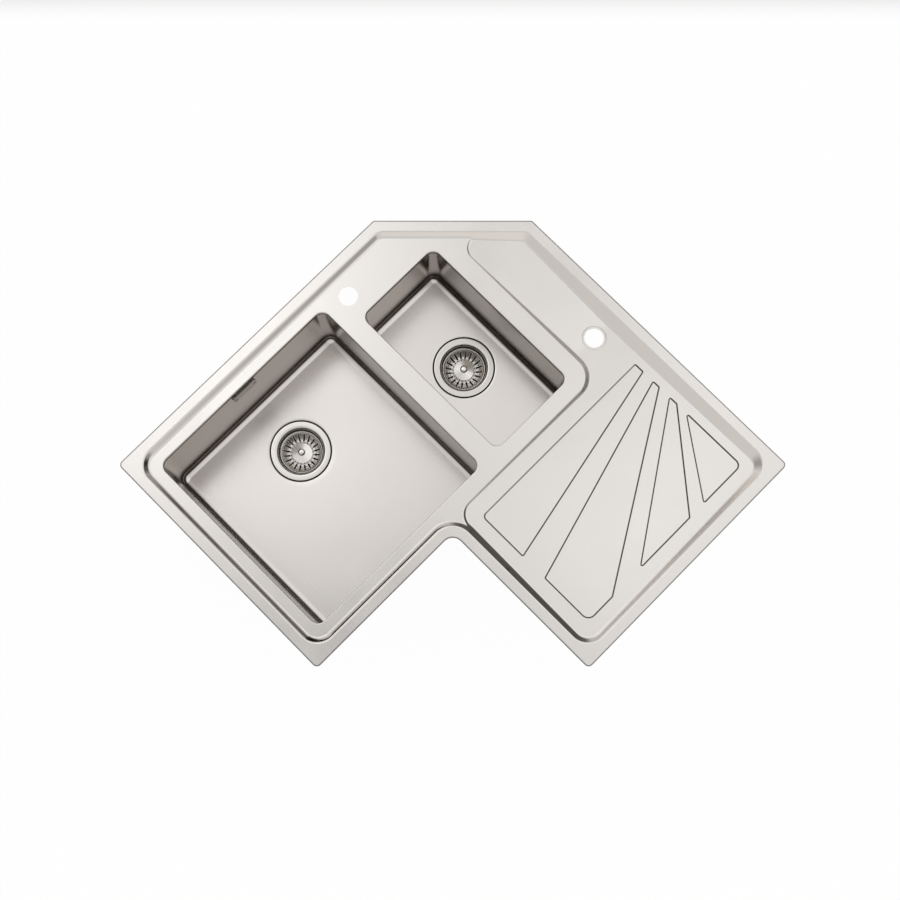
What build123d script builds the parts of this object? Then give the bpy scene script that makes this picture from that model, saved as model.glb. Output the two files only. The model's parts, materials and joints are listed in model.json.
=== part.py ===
from build123d import *
import os
from math import cos, radians, sin, sqrt, tan

os.makedirs("parts", exist_ok=True)

# Corner kitchen sink, an L in plan. The corner of the room is at -X +Y: +X runs along the
# back wall to the draining board, -Y along the side wall to the main bowl. The worktop is
# z = 0 and the middle of the 830 mm square is the origin.

# ---------------------------------------------------------------- outline and rim
corner_cut = 202.0              # length of the cut corner along each wall
outer_radius = 9.0              # outer corners
cut_radius = 4.0                # corners of the cut
notch_radius = 20.0             # inner corner of the L
sheet = 1.0                     # thickness of the deck's sheet
rim_height = 4.0                # top of the rim above the worktop
rim_width = 20.5                # flat rim, from its edge to the bend
rim_edge_gap = 0.3              # turned-down edge above the worktop
rim_edge_radius = 1.2           # rounding of the rim's edge

# ---------------------------------------------------------------- pressed levels
bend_angle = 42.0               # every pressed slope, from vertical
deck_drop = 9.0                 # bowl deck below the rim
recess_radius = 36.0            # corners of the rim's bend
recess_cut_radius = 25.0        # the same at the cut corner
outlet_drop = 19.0              # wet area below the rim, at its outlet
fall_right = 0.015              # rise of the draining board to the right of the outlet
fall_left = 0.024               # rise of the tap ledge to the left of the outlet
fall_front = 0.012              # rise of both towards the front
outlet_radius = 17.5            # outlet hole of the wet area
outlet_seat_radius = 21.7       # pressed seat round it
outlet_seat_depth = 1.6
outlet_from_step = 52.9         # outlet centre behind the step
outlet_from_corner = 50.3       # outlet centre left of the step's corner
tap_radius = 17.5               # tap hole in the bowl deck
tap_from_half_bowl = 44.0       # tap hole left of the small bowl
tap_above_front = 9.0           # tap hole behind the small bowl's front wall

# ---------------------------------------------------------------- bowls
bowl_margin = 50.0              # bowls to the arm's side and front edges
ledge_depth = 160.0             # small bowl to the back edge
main_width = 400.0
main_length = 400.0
main_depth = 201.0              # waste flange of the main bowl below the rim
half_width = 340.0
half_length = 180.0
half_depth = 179.0              # waste flange of the small bowl below the rim
bowl_gap = 40.0                 # between the bowls
bowl_sheet = 1.0
bowl_corner = 17.0              # upright corners, inside
floor_radius = 14.0             # floor to wall, inside
floor_fall = 0.012              # fall of the floors towards the waste
bowl_flange = 7.5               # welding flange under the deck
main_waste_from_left = 122.0    # centre of the main waste from the left wall

# ---------------------------------------------------------------- the step round the bowls
step_behind = 35.5              # step behind the small bowl
step_beside = 30.3              # step right of the bowls
step_start = 35.0               # step's start, right of the small bowl's left wall
step_start_radius = 27.0
step_corner_radius = 38.0
step_end_radius = 31.0
step_overrun = 0.3              # the step's end runs this far past the rim's bend

# ---------------------------------------------------------------- draining board panels
panel_depth = 1.5
panel_angle = 40.0              # slope of a panel's edge, from vertical
panel_radius = 3.0
board_from_step = 34.7          # panels right of the step
board_from_rim = 35.0           # panels left of the right bend
board_from_front = 58.0         # panels behind the front edge
board_from_back = 54.0          # panels before the back edge
# where the fan of panels meets the board's back, front and right, as shares of its size
fan_back = (0.079, 0.170, 0.231, 0.324, 0.397, 0.478)
fan_front = (0.387, 0.590)
fan_right = (0.156, 0.330, 0.660, 0.749)

# ---------------------------------------------------------------- wastes
seat_radius = 58.3              # pressed seat in the bowl floor
seat_depth = 3.0
waste_hole = 46.5               # hole in the floor, radius
cup_flange_radius = 57.0        # 114 mm strainer flange
cup_flange = 1.2
cup_radius = 42.5               # inside of the cup above its shoulder
cup_neck = 38.5                 # inside of the cup below it
cup_sheet = 1.0
cup_depth = 43.8
cup_shoulder = 15.0             # shoulder below the flange
cup_outlet = 17.5               # radius of the openings in the cup's bottom
hub_radius = 8.5                # middle of the cup's bottom
spoke_width = 5.0
seal_thick = 3.0
body_flange_radius = 56.0
body_flange = 4.0
body_bore = 48.0                # housing round the cup
body_wall = 3.0
spigot_radius = 23.9            # G 1 1/2 outlet, outside
spigot_bore = 19.5
spigot_length = 24.0
bolt_radius = 3.0
bolt_head_radius = 5.5
bolt_head = 3.0
bolt_length = 24.0
running = 0.06                  # radial clearance of every moving shaft
loose = 0.3                     # gap between pieces that move apart

# ---------------------------------------------------------------- baskets and plugs
basket_rim = 40.8
basket_bead = 1.2               # rounded rim of the basket
basket_perch = 0.7              # middle of the rounded rim above the cup's shoulder
basket_roll = 1.3               # the wall's turn into the rim
basket_wall_top = 37.0          # radius where the sloping wall starts
basket_wall_drop = 2.5          # its start below the shoulder
basket_wall_foot = 27.0
basket_depth = 28.5             # flat ring of the basket below the flange
basket_sheet = 1.0
dome_radius = 22.0
dome_height = 6.5
slot_count = 20
slot_width = 1.8
slot_hole = 1.7
slot_inner = 25.0
slot_outer = 35.5
stem_radius = 3.0
knob_radius = 7.0
knob_height = 9.0
plug_radius = 21.0
plug_thick = 5.5
plug_travel = 8.0

# ---------------------------------------------------------------- overflow
overflow_drop = 37.0            # slot centre below the rim
overflow_slot = 30.0
overflow_slot_height = 12.0
cover_length = 54.0
cover_height = 28.0
cover_radius = 4.0
cover_stand = 3.5               # back of the cover off the wall
cover_sheet = 1.2
screw_spacing = 45.0
screw_radius = 2.0
screw_head_radius = 3.6
screw_length = 13.0
boss_radius = 4.4
overflow_seal_thick = 2.0
chamber_length = 40.0
chamber_height = 24.0
chamber_wall = 2.0
pipe_from_wall = 18.0           # pipe's axis behind the bowl's wall
pipe_radius = 10.0
pipe_bore = 8.5
pipe_bend = 30.0
stub_wall = 3.0
socket_depth = 20.0
spout_length = 37.0             # spout's end below the slot centre
inlet_drop = 23.0               # overflow inlet below the waste flange
inlet_length = 27.0             # inlet's end from the waste body
nut_radius = 15.0
nut_length = 22.0
nut_overlap = 12.0              # nut over the stub
nut_lip = 3.0

# ---------------------------------------------------------------- clips
clip_inset_bowl = 34.0          # screw from the outline, beside the bowls
clip_inset_board = 44.0         # screw from the outline, under the wet area
clip_web = 20.0                 # top of the brackets' webs below the worktop
bracket_length = 22.0
bracket_width = 9.0
bracket_sheet = 2.0
clip_screw_radius = 3.0
clip_head_radius = 5.5
clip_head = 5.0
clip_screw_length = 59.0        # from the web to the underside of the head
collar_radius = 4.4
collar = 3.0
arm_reach = 44.0
arm_width = 12.0
arm_thick = 4.0
arm_height = 12.0
arm_hub_radius = 7.0
tooth_pitch = 2.7
tooth_count = 3
tooth_height = 2.5
clip_before_half = 15.0         # left clip, before the small bowl's middle
clip_behind_front = 65.0        # clips at the front corners, behind the main bowl's front
clip_past_board = 10.0          # front clip, right of the middle of the board
clip_behind_notch = 265.0       # right clip, behind the right arm's front edge
clip_from_right = 135.0         # back clip of the board, from the right edge
clip_past_half = 75.0           # back clip of the ledge, right of the small bowl's middle

gasket_width = 8.0
gasket_gap = 0.5                # gasket inside the turned-down edge
pad_thick = 2.5
pad_from_waste = 66.0
pad_from_wall = 26.0

# ---------------------------------------------------------------- worked-out places
side = bowl_margin + main_length + bowl_gap + half_length + ledge_depth     # along each wall
arm_depth = bowl_margin + main_width + bowl_margin      # depth of each arm, wall to front
half = side / 2
arm_right = -half + arm_depth           # right edge of the lower arm
arm_front = half - arm_depth            # front edge of the right arm
deck_top = rim_height - deck_drop
deck_under = deck_top - sheet
bowls_right = arm_right - bowl_margin
main_front = -half + bowl_margin
main_left = bowls_right - main_width
main_back = main_front + main_length
half_front = main_back + bowl_gap
half_back = half_front + half_length
half_left = bowls_right - half_width
main_middle = (main_left + main_width / 2, main_front + main_length / 2)
half_middle = (half_left + half_width / 2, half_front + half_length / 2)
step_x = bowls_right + step_beside
step_y = half_back + step_behind
step_start_x = half_left + step_start
outlet = (step_x - outlet_from_corner, step_y + outlet_from_step)
tap = (half_left - tap_from_half_bowl, half_front + tap_above_front)
main_waste = (main_left + main_waste_from_left, main_middle[1], rim_height - main_depth)
half_waste = (half_middle[0], half_middle[1], rim_height - half_depth)
overflow_z = rim_height - overflow_drop
pipe_x = main_left - pipe_from_wall
inlet_z = main_waste[2] - inlet_drop
inlet_end = main_waste[0] - body_bore - body_wall - inlet_length
stub_radius = pipe_radius + loose + stub_wall
UP = (0, 0, 1)
TOP = (Align.CENTER, Align.CENTER, Align.MAX)       # a solid hanging from its place
FOOT = (Align.CENTER, Align.CENTER, Align.MIN)      # a solid standing on its place


# The underside of a bend lies one sheet away from its top, so its outline is this much wider.
bend_shift = sheet * tan(radians(90 - bend_angle) / 2)


def place(x, y, z=0.0):
    """A level plane through a point."""
    return Plane(origin=(x, y, z))


def upright(x, y, z):
    """An upright plane through an axis: its x is the radius and its y is the height."""
    return Plane(origin=(x, y, z), x_dir=(1, 0, 0), z_dir=(0, -1, 0))


def spread(points, wider):
    """A counter-clockwise polygon with every side moved outwards by wider."""
    moved = []
    for k, point in enumerate(points):
        before = points[k - 1]
        after = points[(k + 1) % len(points)]
        into = Vector(point[0] - before[0], point[1] - before[1]).normalized()
        out = Vector(after[0] - point[0], after[1] - point[1]).normalized()
        normals = Vector(into.Y + out.Y, -into.X - out.X)
        reach = wider / (1 + into.dot(out))
        moved.append((point[0] + normals.X * reach, point[1] + normals.Y * reach))
    return moved


def rounded(points, radii, wider=0.0):
    """A counter-clockwise polygon with rounded corners, spread outwards by wider."""
    moved = spread(points, wider)
    turned_radii = []
    for k, point in enumerate(points):
        before = points[k - 1]
        after = points[(k + 1) % len(points)]
        turn = (point[0] - before[0]) * (after[1] - point[1])
        turn -= (point[1] - before[1]) * (after[0] - point[0])
        grown = radii[k] + wider if turn > 0 else radii[k] - wider
        turned_radii.append(grown if radii[k] else 0)
    with BuildSketch() as shape:
        with BuildLine():
            FilletPolyline(*moved, radius=turned_radii, close=True)
        make_face()
    return shape.sketch


def pressed(points, radii, wider, plane, drop, angle):
    """A pressing with sloped sides: a rounded polygon in a plane, narrowing downwards."""
    with BuildPart() as space:
        with BuildSketch(plane):
            add(rounded(points, radii, wider))
        with BuildSketch(plane.offset(-drop)):
            add(rounded(points, radii, wider - drop * tan(radians(angle))))
        loft(ruled=True)
    return space.part


# the L outline, and the line of the rim's bend
ell = [
    (-half, -half), (arm_right, -half), (arm_right, arm_front), (half, arm_front), (half, half),
    (-half + corner_cut, half), (-half, half - corner_cut),
]
ell_radii = [outer_radius] * 2 + [notch_radius] + [outer_radius] * 2 + [cut_radius] * 2
bend = spread(ell, -rim_width)
bend_radii = [recess_radius] * 2 + [notch_radius + rim_width] + [recess_radius] * 2
bend_radii += [recess_cut_radius] * 2

# the step at the level of the rim, and far round the wet area outside the rim
step_rise = deck_drop * tan(radians(bend_angle))
step_left = step_start_x - step_rise
step_right = step_x - step_rise
step_line = [
    (step_left, side), (step_left, step_y - step_rise), (step_right, step_y - step_rise),
    (step_right, bend[3][1] - step_overrun), (side, bend[3][1] - step_overrun), (side, side),
]
step_radii = [
    0, step_start_radius + step_rise, step_corner_radius - step_rise,
    step_end_radius + step_rise, 0, 0,
]


def fall_plane(rise_right, below):
    """The floor of the wet area on one side of its outlet, or a plane below it."""
    steep = sqrt(1 + rise_right**2 + fall_front**2)
    return Plane(
        origin=(outlet[0], outlet[1], rim_height - outlet_drop - below * steep),
        x_dir=(1, 0, rise_right),
        z_dir=(-rise_right, fall_front, 1),
    )


def pan(wider, below, top):
    """What the pressed deck holds up to a level, or its outside when wider and below are set."""
    drop = top - rim_height + outlet_drop + below + 2
    level = Plane.XY.offset(top)
    with BuildPart() as space:
        add(pressed(step_line, step_radii, wider, level, drop, bend_angle))
        split(bisect_by=fall_plane(fall_right, below), keep=Keep.TOP)
        split(bisect_by=fall_plane(-fall_left, below), keep=Keep.TOP)
        with BuildSketch(Plane.XY.offset(deck_top - below)):
            Rectangle(3 * side, 3 * side)
        extrude(amount=top - deck_top + below + 1)
        add(pressed(bend, bend_radii, wider, level, drop, bend_angle), mode=Mode.INTERSECT)
    return space.part


# the four wedges of the draining board, from the outlet
board_left = step_x + board_from_step - outlet[0]
board_right = half - rim_width - board_from_rim - outlet[0]
board_front = arm_front + board_from_front - outlet[1]
board_back = half - board_from_back - outlet[1]
back = [(board_left + (board_right - board_left) * share, board_back) for share in fan_back]
front = [(board_left + (board_right - board_left) * share, board_front) for share in fan_front]
right = [(board_right, board_front + (board_back - board_front) * share) for share in fan_right]
wedges = [
    ([(board_left, board_back), (board_left, board_front), front[0], back[0]],
     [panel_radius, 3 * panel_radius, panel_radius, panel_radius]),
    ([back[1], front[1], (board_right, board_front), right[0], back[2]],
     [panel_radius, panel_radius, 5 * panel_radius, panel_radius, panel_radius]),
    ([back[3], right[1], right[2], back[4]], [panel_radius] * 4),
    ([back[5], right[3], (board_right, board_back)],
     [panel_radius, panel_radius, 4 * panel_radius]),
]


def floor_cone(waste, lower):
    """Everything above a bowl floor that falls evenly to its waste, lowered by lower."""
    reach = side
    rise = (reach - seat_radius) * floor_fall
    points = [(0, -lower), (seat_radius, -lower), (reach, rise - lower), (reach, side), (0, side)]
    with BuildPart() as above:
        with BuildSketch(upright(*waste)):
            Polygon(*points, align=None)
        revolve(axis=Axis(origin=waste, direction=UP))
    return above.part


def bowl_space(width, length, middle, waste, wider):
    """What a bowl holds, up to the deck, or its outside when wider is the sheet."""
    with BuildPart() as space:
        with BuildSketch(Plane.XY.offset(deck_under)):
            with Locations(middle):
                RectangleRounded(width + 2 * wider, length + 2 * wider, bowl_corner + wider)
        extrude(amount=waste[2] - deck_under - 10 * sheet)
        add(floor_cone(waste, wider), mode=Mode.INTERSECT)
        foot = []
        for edge in space.edges():
            ends = [edge.position_at(0), edge.position_at(1)]
            low = max(end.Z for end in ends) < waste[2] + 2 * floor_radius
            far = min(sqrt((end.X - waste[0])**2 + (end.Y - waste[1])**2) for end in ends)
            if low and far > seat_radius + sheet:
                foot.append(edge)
        fillet(foot, floor_radius + wider)
    return space.part


def overflow_plane(along):
    """An upright plane on the main bowl's left wall, moved into the bowl by along."""
    return Plane(
        origin=(main_left + along, main_middle[1], overflow_z), x_dir=(0, 1, 0), z_dir=(1, 0, 0)
    )


def turned(x, y, z, turn):
    """A level plane through a point, turned about the upright by degrees."""
    return Plane(origin=(x, y, z), x_dir=(cos(radians(turn)), sin(radians(turn)), 0), z_dir=UP)


# ================================================================ deck
pan_outside = pan(bend_shift, sheet, rim_height - sheet)
pan_inside = pan(0, 0, rim_height)
with BuildPart() as deck:
    with BuildSketch(Plane.XY.offset(rim_edge_gap)):
        add(rounded(ell, ell_radii))
    extrude(amount=rim_height - rim_edge_gap)
    fillet(deck.faces().sort_by(Axis.Z)[-1].outer_wire().edges(), rim_edge_radius)
    with BuildSketch(Plane.XY.offset(rim_edge_gap)):
        add(rounded(ell, ell_radii, -sheet))
    extrude(amount=rim_height - sheet - rim_edge_gap, mode=Mode.SUBTRACT)
    # the pan with the panels and the outlet's seat, then what they hold
    add(pan_outside)
    for points, radii in wedges:
        add(pressed(points, radii, bend_shift, fall_plane(fall_right, sheet), panel_depth,
                    panel_angle))
    with Locations(place(outlet[0], outlet[1], rim_height - outlet_drop)):
        Cylinder(outlet_seat_radius + sheet, outlet_seat_depth + sheet, align=TOP)
    add(pan_inside, mode=Mode.SUBTRACT)
    for points, radii in wedges:
        add(pressed(points, radii, 0, fall_plane(fall_right, 0), panel_depth, panel_angle),
            mode=Mode.SUBTRACT)
    with Locations(place(outlet[0], outlet[1], rim_height - outlet_drop - outlet_seat_depth)):
        Cylinder(outlet_seat_radius, 2 * outlet_seat_depth, align=FOOT, mode=Mode.SUBTRACT)
        Hole(outlet_radius)
    with Locations(place(tap[0], tap[1], deck_top)):
        Hole(tap_radius)
    with BuildSketch(Plane.XY.offset(deck_top)):
        with Locations(main_middle):
            RectangleRounded(main_width, main_length, bowl_corner)
        with Locations(half_middle):
            RectangleRounded(half_width, half_length, bowl_corner)
    extrude(amount=2 * sheet, both=True, mode=Mode.SUBTRACT)
deck.part.label = "deck"
export_step(deck.part, "parts/deck.step")

# ================================================================ bowls
with BuildPart() as main_bowl:
    add(bowl_space(main_width, main_length, main_middle, main_waste, bowl_sheet))
    with BuildSketch(Plane.XY.offset(deck_under)):
        with Locations(main_middle):
            RectangleRounded(
                main_width + 2 * bowl_flange, main_length + 2 * bowl_flange, bowl_corner + bowl_flange
            )
    extrude(amount=-bowl_sheet)
    with Locations(main_waste):
        Cylinder(seat_radius + bowl_sheet, seat_depth + bowl_sheet, align=TOP)
    add(bowl_space(main_width, main_length, main_middle, main_waste, 0), mode=Mode.SUBTRACT)
    with Locations(main_waste):
        Cylinder(seat_radius, seat_depth, align=TOP, mode=Mode.SUBTRACT)
        Cylinder(waste_hole, 3 * seat_depth, mode=Mode.SUBTRACT)
    with BuildSketch(overflow_plane(-2 * bowl_sheet)):
        RectangleRounded(overflow_slot, overflow_slot_height, overflow_slot_height / 2 - 0.5)
        with GridLocations(screw_spacing, 1, 2, 1):
            Circle(screw_radius + loose)
    extrude(amount=4 * bowl_sheet, mode=Mode.SUBTRACT)
main_bowl.part.label = "main_bowl"
export_step(main_bowl.part, "parts/main_bowl.step")

with BuildPart() as half_bowl:
    add(bowl_space(half_width, half_length, half_middle, half_waste, bowl_sheet))
    with BuildSketch(Plane.XY.offset(deck_under)):
        with Locations(half_middle):
            RectangleRounded(
                half_width + 2 * bowl_flange, half_length + 2 * bowl_flange, bowl_corner + bowl_flange
            )
    extrude(amount=-bowl_sheet)
    with Locations(half_waste):
        Cylinder(seat_radius + bowl_sheet, seat_depth + bowl_sheet, align=TOP)
    add(bowl_space(half_width, half_length, half_middle, half_waste, 0), mode=Mode.SUBTRACT)
    with Locations(half_waste):
        Cylinder(seat_radius, seat_depth, align=TOP, mode=Mode.SUBTRACT)
        Cylinder(waste_hole, 3 * seat_depth, mode=Mode.SUBTRACT)
half_bowl.part.label = "half_bowl"
export_step(half_bowl.part, "parts/half_bowl.step")

# ================================================================ rubber pads under the floors
pad_sets = [
    ("main_bowl_pads", main_width, main_length, main_middle, main_waste),
    ("half_bowl_pads", half_width, half_length, half_middle, half_waste),
]
for pad_name, width, length, middle, waste in pad_sets:
    left = middle[0] - width / 2 + pad_from_wall
    right = middle[0] + width / 2 - pad_from_wall
    with BuildPart() as pads:
        with BuildSketch(Plane.XY.offset(waste[2] - 2 * seat_depth)):
            for low, high in ((left, waste[0] - pad_from_waste), (waste[0] + pad_from_waste, right)):
                with Locations(((low + high) / 2, middle[1])):
                    RectangleRounded(high - low, length - 2 * pad_from_wall, 3 * pad_thick)
        extrude(amount=4 * seat_depth)
        add(floor_cone(waste, bowl_sheet + pad_thick), mode=Mode.INTERSECT)
        add(floor_cone(waste, bowl_sheet), mode=Mode.SUBTRACT)
    pads.part.label = pad_name
    export_step(pads.part, f"parts/{pad_name}.step")

# ================================================================ rim gasket
gasket_outer = sheet + gasket_gap
gasket_inner = gasket_outer + gasket_width
gasket_radii = [cut_radius] * 2 + [notch_radius + gasket_inner] + [cut_radius] * 4
with BuildPart() as rim_gasket:
    with BuildSketch(Plane.XY):
        add(rounded(ell, ell_radii, -gasket_outer))
        add(rounded(spread(ell, -gasket_inner), gasket_radii), mode=Mode.SUBTRACT)
    extrude(amount=rim_height - sheet)
rim_gasket.part.label = "rim_gasket"
export_step(rim_gasket.part, "parts/rim_gasket.step")

# ================================================================ wastes, baskets and plugs
cup_inner = [
    (cup_radius + 4, 0),
    (cup_radius, -4),
    (cup_radius, -cup_shoulder),
    (cup_neck, -cup_shoulder - 1.5),
    (cup_neck, -cup_depth),
]
basket_line = [
    (basket_rim - basket_bead, -cup_shoulder + basket_perch),
    (basket_rim - basket_bead - basket_roll, -cup_shoulder + basket_perch / 7),
    (basket_wall_top, -cup_shoulder - basket_wall_drop),
    (basket_wall_foot, -basket_depth),
    (dome_radius, -basket_depth),
]
for bowl_name, waste in (("main", main_waste), ("half", half_waste)):
    axis = Axis(origin=waste, direction=UP)

    with BuildPart() as cup:
        with BuildSketch(upright(*waste)):
            Polygon(
                (0, 0), (cup_flange_radius, 0), (cup_flange_radius, -cup_flange),
                (cup_radius + cup_sheet + 4, -cup_flange),
                (cup_radius + cup_sheet, -cup_flange - 4),
                (cup_radius + cup_sheet, -cup_shoulder - 0.4),
                (cup_neck + cup_sheet, -cup_shoulder - 1.9),
                (cup_neck + cup_sheet, -cup_depth - cup_sheet),
                (0, -cup_depth - cup_sheet),
                align=None,
            )
            Polygon((0, 0), *cup_inner, (0, -cup_depth), align=None, mode=Mode.SUBTRACT)
        revolve(axis=axis)
        with BuildSketch(place(waste[0], waste[1], waste[2] - cup_depth - 2 * cup_sheet)):
            Circle(cup_outlet)
            Circle(hub_radius, mode=Mode.SUBTRACT)
            Rectangle(3 * cup_outlet, spoke_width, mode=Mode.SUBTRACT)
            Rectangle(spoke_width, 3 * cup_outlet, mode=Mode.SUBTRACT)
        extrude(amount=3 * cup_sheet, mode=Mode.SUBTRACT)
        with Locations(place(waste[0], waste[1], waste[2] - cup_depth)):
            Cylinder(bolt_radius + loose, 4 * cup_sheet, mode=Mode.SUBTRACT)
        flange_edge = cup.faces().filter_by(GeomType.PLANE).sort_by(Axis.Z)[-1].outer_wire()
        fillet(flange_edge.edges(), cup_flange / 2)
    cup.part.label = f"{bowl_name}_waste_cup"
    export_step(cup.part, f"parts/{bowl_name}_waste_cup.step")

    with BuildPart() as flange_seal:
        with Locations(place(waste[0], waste[1], waste[2] - seat_depth)):
            Cylinder(cup_flange_radius - 0.5, seat_depth - cup_flange, align=FOOT)
            Cylinder(cup_radius + cup_sheet + 4.5, 3 * seat_depth, mode=Mode.SUBTRACT)
    flange_seal.part.label = f"{bowl_name}_flange_seal"
    export_step(flange_seal.part, f"parts/{bowl_name}_flange_seal.step")

    seal_top = waste[2] - seat_depth - bowl_sheet
    with BuildPart() as body_seal:
        with Locations(place(waste[0], waste[1], seal_top)):
            Cylinder(body_flange_radius, seal_thick, align=TOP)
            Cylinder(body_bore, 3 * seal_thick, mode=Mode.SUBTRACT)
    body_seal.part.label = f"{bowl_name}_body_seal"
    export_step(body_seal.part, f"parts/{bowl_name}_body_seal.step")

    body_top = seal_top - seal_thick - waste[2]
    funnel_top = -cup_depth - 6 * cup_sheet
    funnel_foot = funnel_top - (body_bore - spigot_bore) * 0.45
    spigot_end = funnel_foot - 2.5 - spigot_length
    with BuildPart() as waste_body:
        with BuildSketch(upright(*waste)):
            Polygon(
                (0, body_top), (body_flange_radius, body_top),
                (body_flange_radius, body_top - body_flange),
                (body_bore + body_wall, body_top - body_flange),
                (body_bore + body_wall, funnel_top - body_wall),
                (spigot_radius, funnel_foot - 2.5),
                (spigot_radius, spigot_end), (0, spigot_end),
                align=None,
            )
        revolve(axis=axis)
        if bowl_name == "main":
            with BuildSketch(Plane(origin=(waste[0], waste[1], inlet_z), z_dir=(-1, 0, 0))):
                Circle(stub_radius)
            extrude(amount=waste[0] - inlet_end)
        with BuildSketch(upright(*waste)):
            Polygon(
                (0, body_top + 1), (body_bore, body_top + 1), (body_bore, funnel_top),
                (spigot_bore, funnel_foot), (spigot_bore, spigot_end - 1), (0, spigot_end - 1),
                align=None,
            )
        revolve(axis=axis, mode=Mode.SUBTRACT)
        if bowl_name == "main":
            with BuildSketch(Plane(origin=(waste[0], waste[1], inlet_z), z_dir=(-1, 0, 0))):
                Circle(pipe_bore)
            extrude(amount=waste[0] - inlet_end, mode=Mode.SUBTRACT)
            with BuildSketch(Plane(origin=(inlet_end, waste[1], inlet_z), z_dir=(1, 0, 0))):
                Circle(pipe_radius + loose)
            extrude(amount=socket_depth + loose, mode=Mode.SUBTRACT)
        # the bolt's boss and its four ribs
        boss_top = waste[2] - cup_depth - cup_sheet
        with Locations(place(waste[0], waste[1], boss_top)):
            Cylinder(hub_radius - 1, bolt_length - 3, align=TOP)
        for facing in ((1, 0, 0), (0, 1, 0)):
            rib_plane = Plane(origin=waste, x_dir=facing, z_dir=(facing[1], -facing[0], 0))
            with BuildSketch(rib_plane):
                Polygon(
                    (-body_bore - 1, funnel_top), (body_bore + 1, funnel_top),
                    (spigot_bore + 1, funnel_foot), (-spigot_bore - 1, funnel_foot),
                    align=None,
                )
            extrude(amount=spoke_width / 4, both=True)
        with Locations(place(waste[0], waste[1], boss_top)):
            Cylinder(bolt_radius, 3 * bolt_length, mode=Mode.SUBTRACT)
    waste_body.part.label = f"{bowl_name}_waste_body"
    export_step(waste_body.part, f"parts/{bowl_name}_waste_body.step")

    with BuildPart() as waste_bolt:
        with Locations(place(waste[0], waste[1], waste[2] - cup_depth)):
            Cylinder(bolt_radius, bolt_length, align=TOP)
            Cylinder(bolt_head_radius, bolt_head, align=FOOT)
            Box(3 * bolt_head_radius, 1.2, 2.4 * bolt_head, mode=Mode.SUBTRACT,
                align=(Align.CENTER, Align.CENTER, Align.MIN))
    waste_bolt.part.label = f"{bowl_name}_waste_bolt"
    export_step(waste_bolt.part, f"parts/{bowl_name}_waste_bolt.step")

    dome_top = -basket_depth + dome_height
    with BuildPart() as basket:
        with BuildSketch(upright(*waste)) as section:
            with BuildLine() as wall:
                Polyline(*basket_line)
                ThreePointArc(
                    (dome_radius, -basket_depth),
                    (dome_radius * 0.62, -basket_depth + dome_height * 0.66),
                    (stem_radius + running, dome_top),
                )
                offset(amount=basket_sheet, side=Side.RIGHT)
            make_face()
            with Locations(basket_line[0]):
                Circle(basket_bead)
        revolve(axis=axis)
        with BuildSketch(place(waste[0], waste[1], waste[2] - basket_depth - 2 * basket_sheet)):
            with PolarLocations((slot_inner + slot_outer) / 2, slot_count):
                Rectangle(slot_outer - slot_inner, slot_width)
            with PolarLocations(slot_inner, slot_count):
                Circle(slot_hole)
        extrude(amount=basket_depth - cup_shoulder, mode=Mode.SUBTRACT)
        with Locations(waste):
            Cylinder(stem_radius + running, 3 * basket_depth, mode=Mode.SUBTRACT)
    basket.part.label = f"{bowl_name}_basket"
    export_step(basket.part, f"parts/{bowl_name}_basket.step")

    knob_foot = waste[2] + dome_top + basket_sheet + loose
    plug_foot = waste[2] - cup_depth + loose
    with BuildPart() as plug_stem:
        with Locations(place(waste[0], waste[1], plug_foot + plug_thick)):
            Cylinder(stem_radius, knob_foot - plug_foot - plug_thick, align=FOOT)
            Cylinder(plug_radius * 0.45, 1.2, align=FOOT)
        with Locations(place(waste[0], waste[1], knob_foot)):
            Cylinder(knob_radius, knob_height, align=FOOT)
        knob_rim = plug_stem.faces().sort_by(Axis.Z)[-1].edges()
        fillet(knob_rim, 2.4)
    plug_stem.part.label = f"{bowl_name}_plug_stem"
    export_step(plug_stem.part, f"parts/{bowl_name}_plug_stem.step")

    with BuildPart() as plug_seal:
        with Locations(place(waste[0], waste[1], plug_foot)):
            Cylinder(plug_radius, plug_thick, align=FOOT)
            Cylinder(bolt_head_radius + 3.5, bolt_head + 1.2, align=FOOT, mode=Mode.SUBTRACT)
        fillet(plug_seal.faces().sort_by(Axis.Z)[-1].edges(), plug_thick / 4)
    plug_seal.part.label = f"{bowl_name}_plug_seal"
    export_step(plug_seal.part, f"parts/{bowl_name}_plug_seal.step")

# ================================================================ overflow
with BuildPart() as overflow_cover:
    with BuildSketch(overflow_plane(cover_stand)):
        RectangleRounded(cover_length, cover_height, cover_radius)
    extrude(amount=cover_sheet)
    fillet(overflow_cover.faces().sort_by(Axis.X)[-1].edges(), cover_sheet / 2)
    with BuildSketch(overflow_plane(0)):
        with GridLocations(screw_spacing, 1, 2, 1):
            Circle(boss_radius)
    extrude(amount=cover_stand)
    with Locations(overflow_plane(cover_stand + cover_sheet)):
        with GridLocations(screw_spacing, 1, 2, 1):
            CounterSinkHole(screw_radius + loose / 2, screw_head_radius + loose / 2)
overflow_cover.part.label = "overflow_cover"
export_step(overflow_cover.part, "parts/overflow_cover.step")

with BuildPart() as overflow_screws:
    with Locations(overflow_plane(cover_stand + cover_sheet - loose)):
        with GridLocations(screw_spacing, 1, 2, 1):
            Cylinder(screw_radius, screw_length, align=TOP)
            Cone(screw_radius, screw_head_radius - loose / 2, screw_head_radius - screw_radius,
                 align=TOP)
            Box(3 * screw_head_radius, 0.8, 1.2, mode=Mode.SUBTRACT)
overflow_screws.part.label = "overflow_screws"
export_step(overflow_screws.part, "parts/overflow_screws.step")

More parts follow.
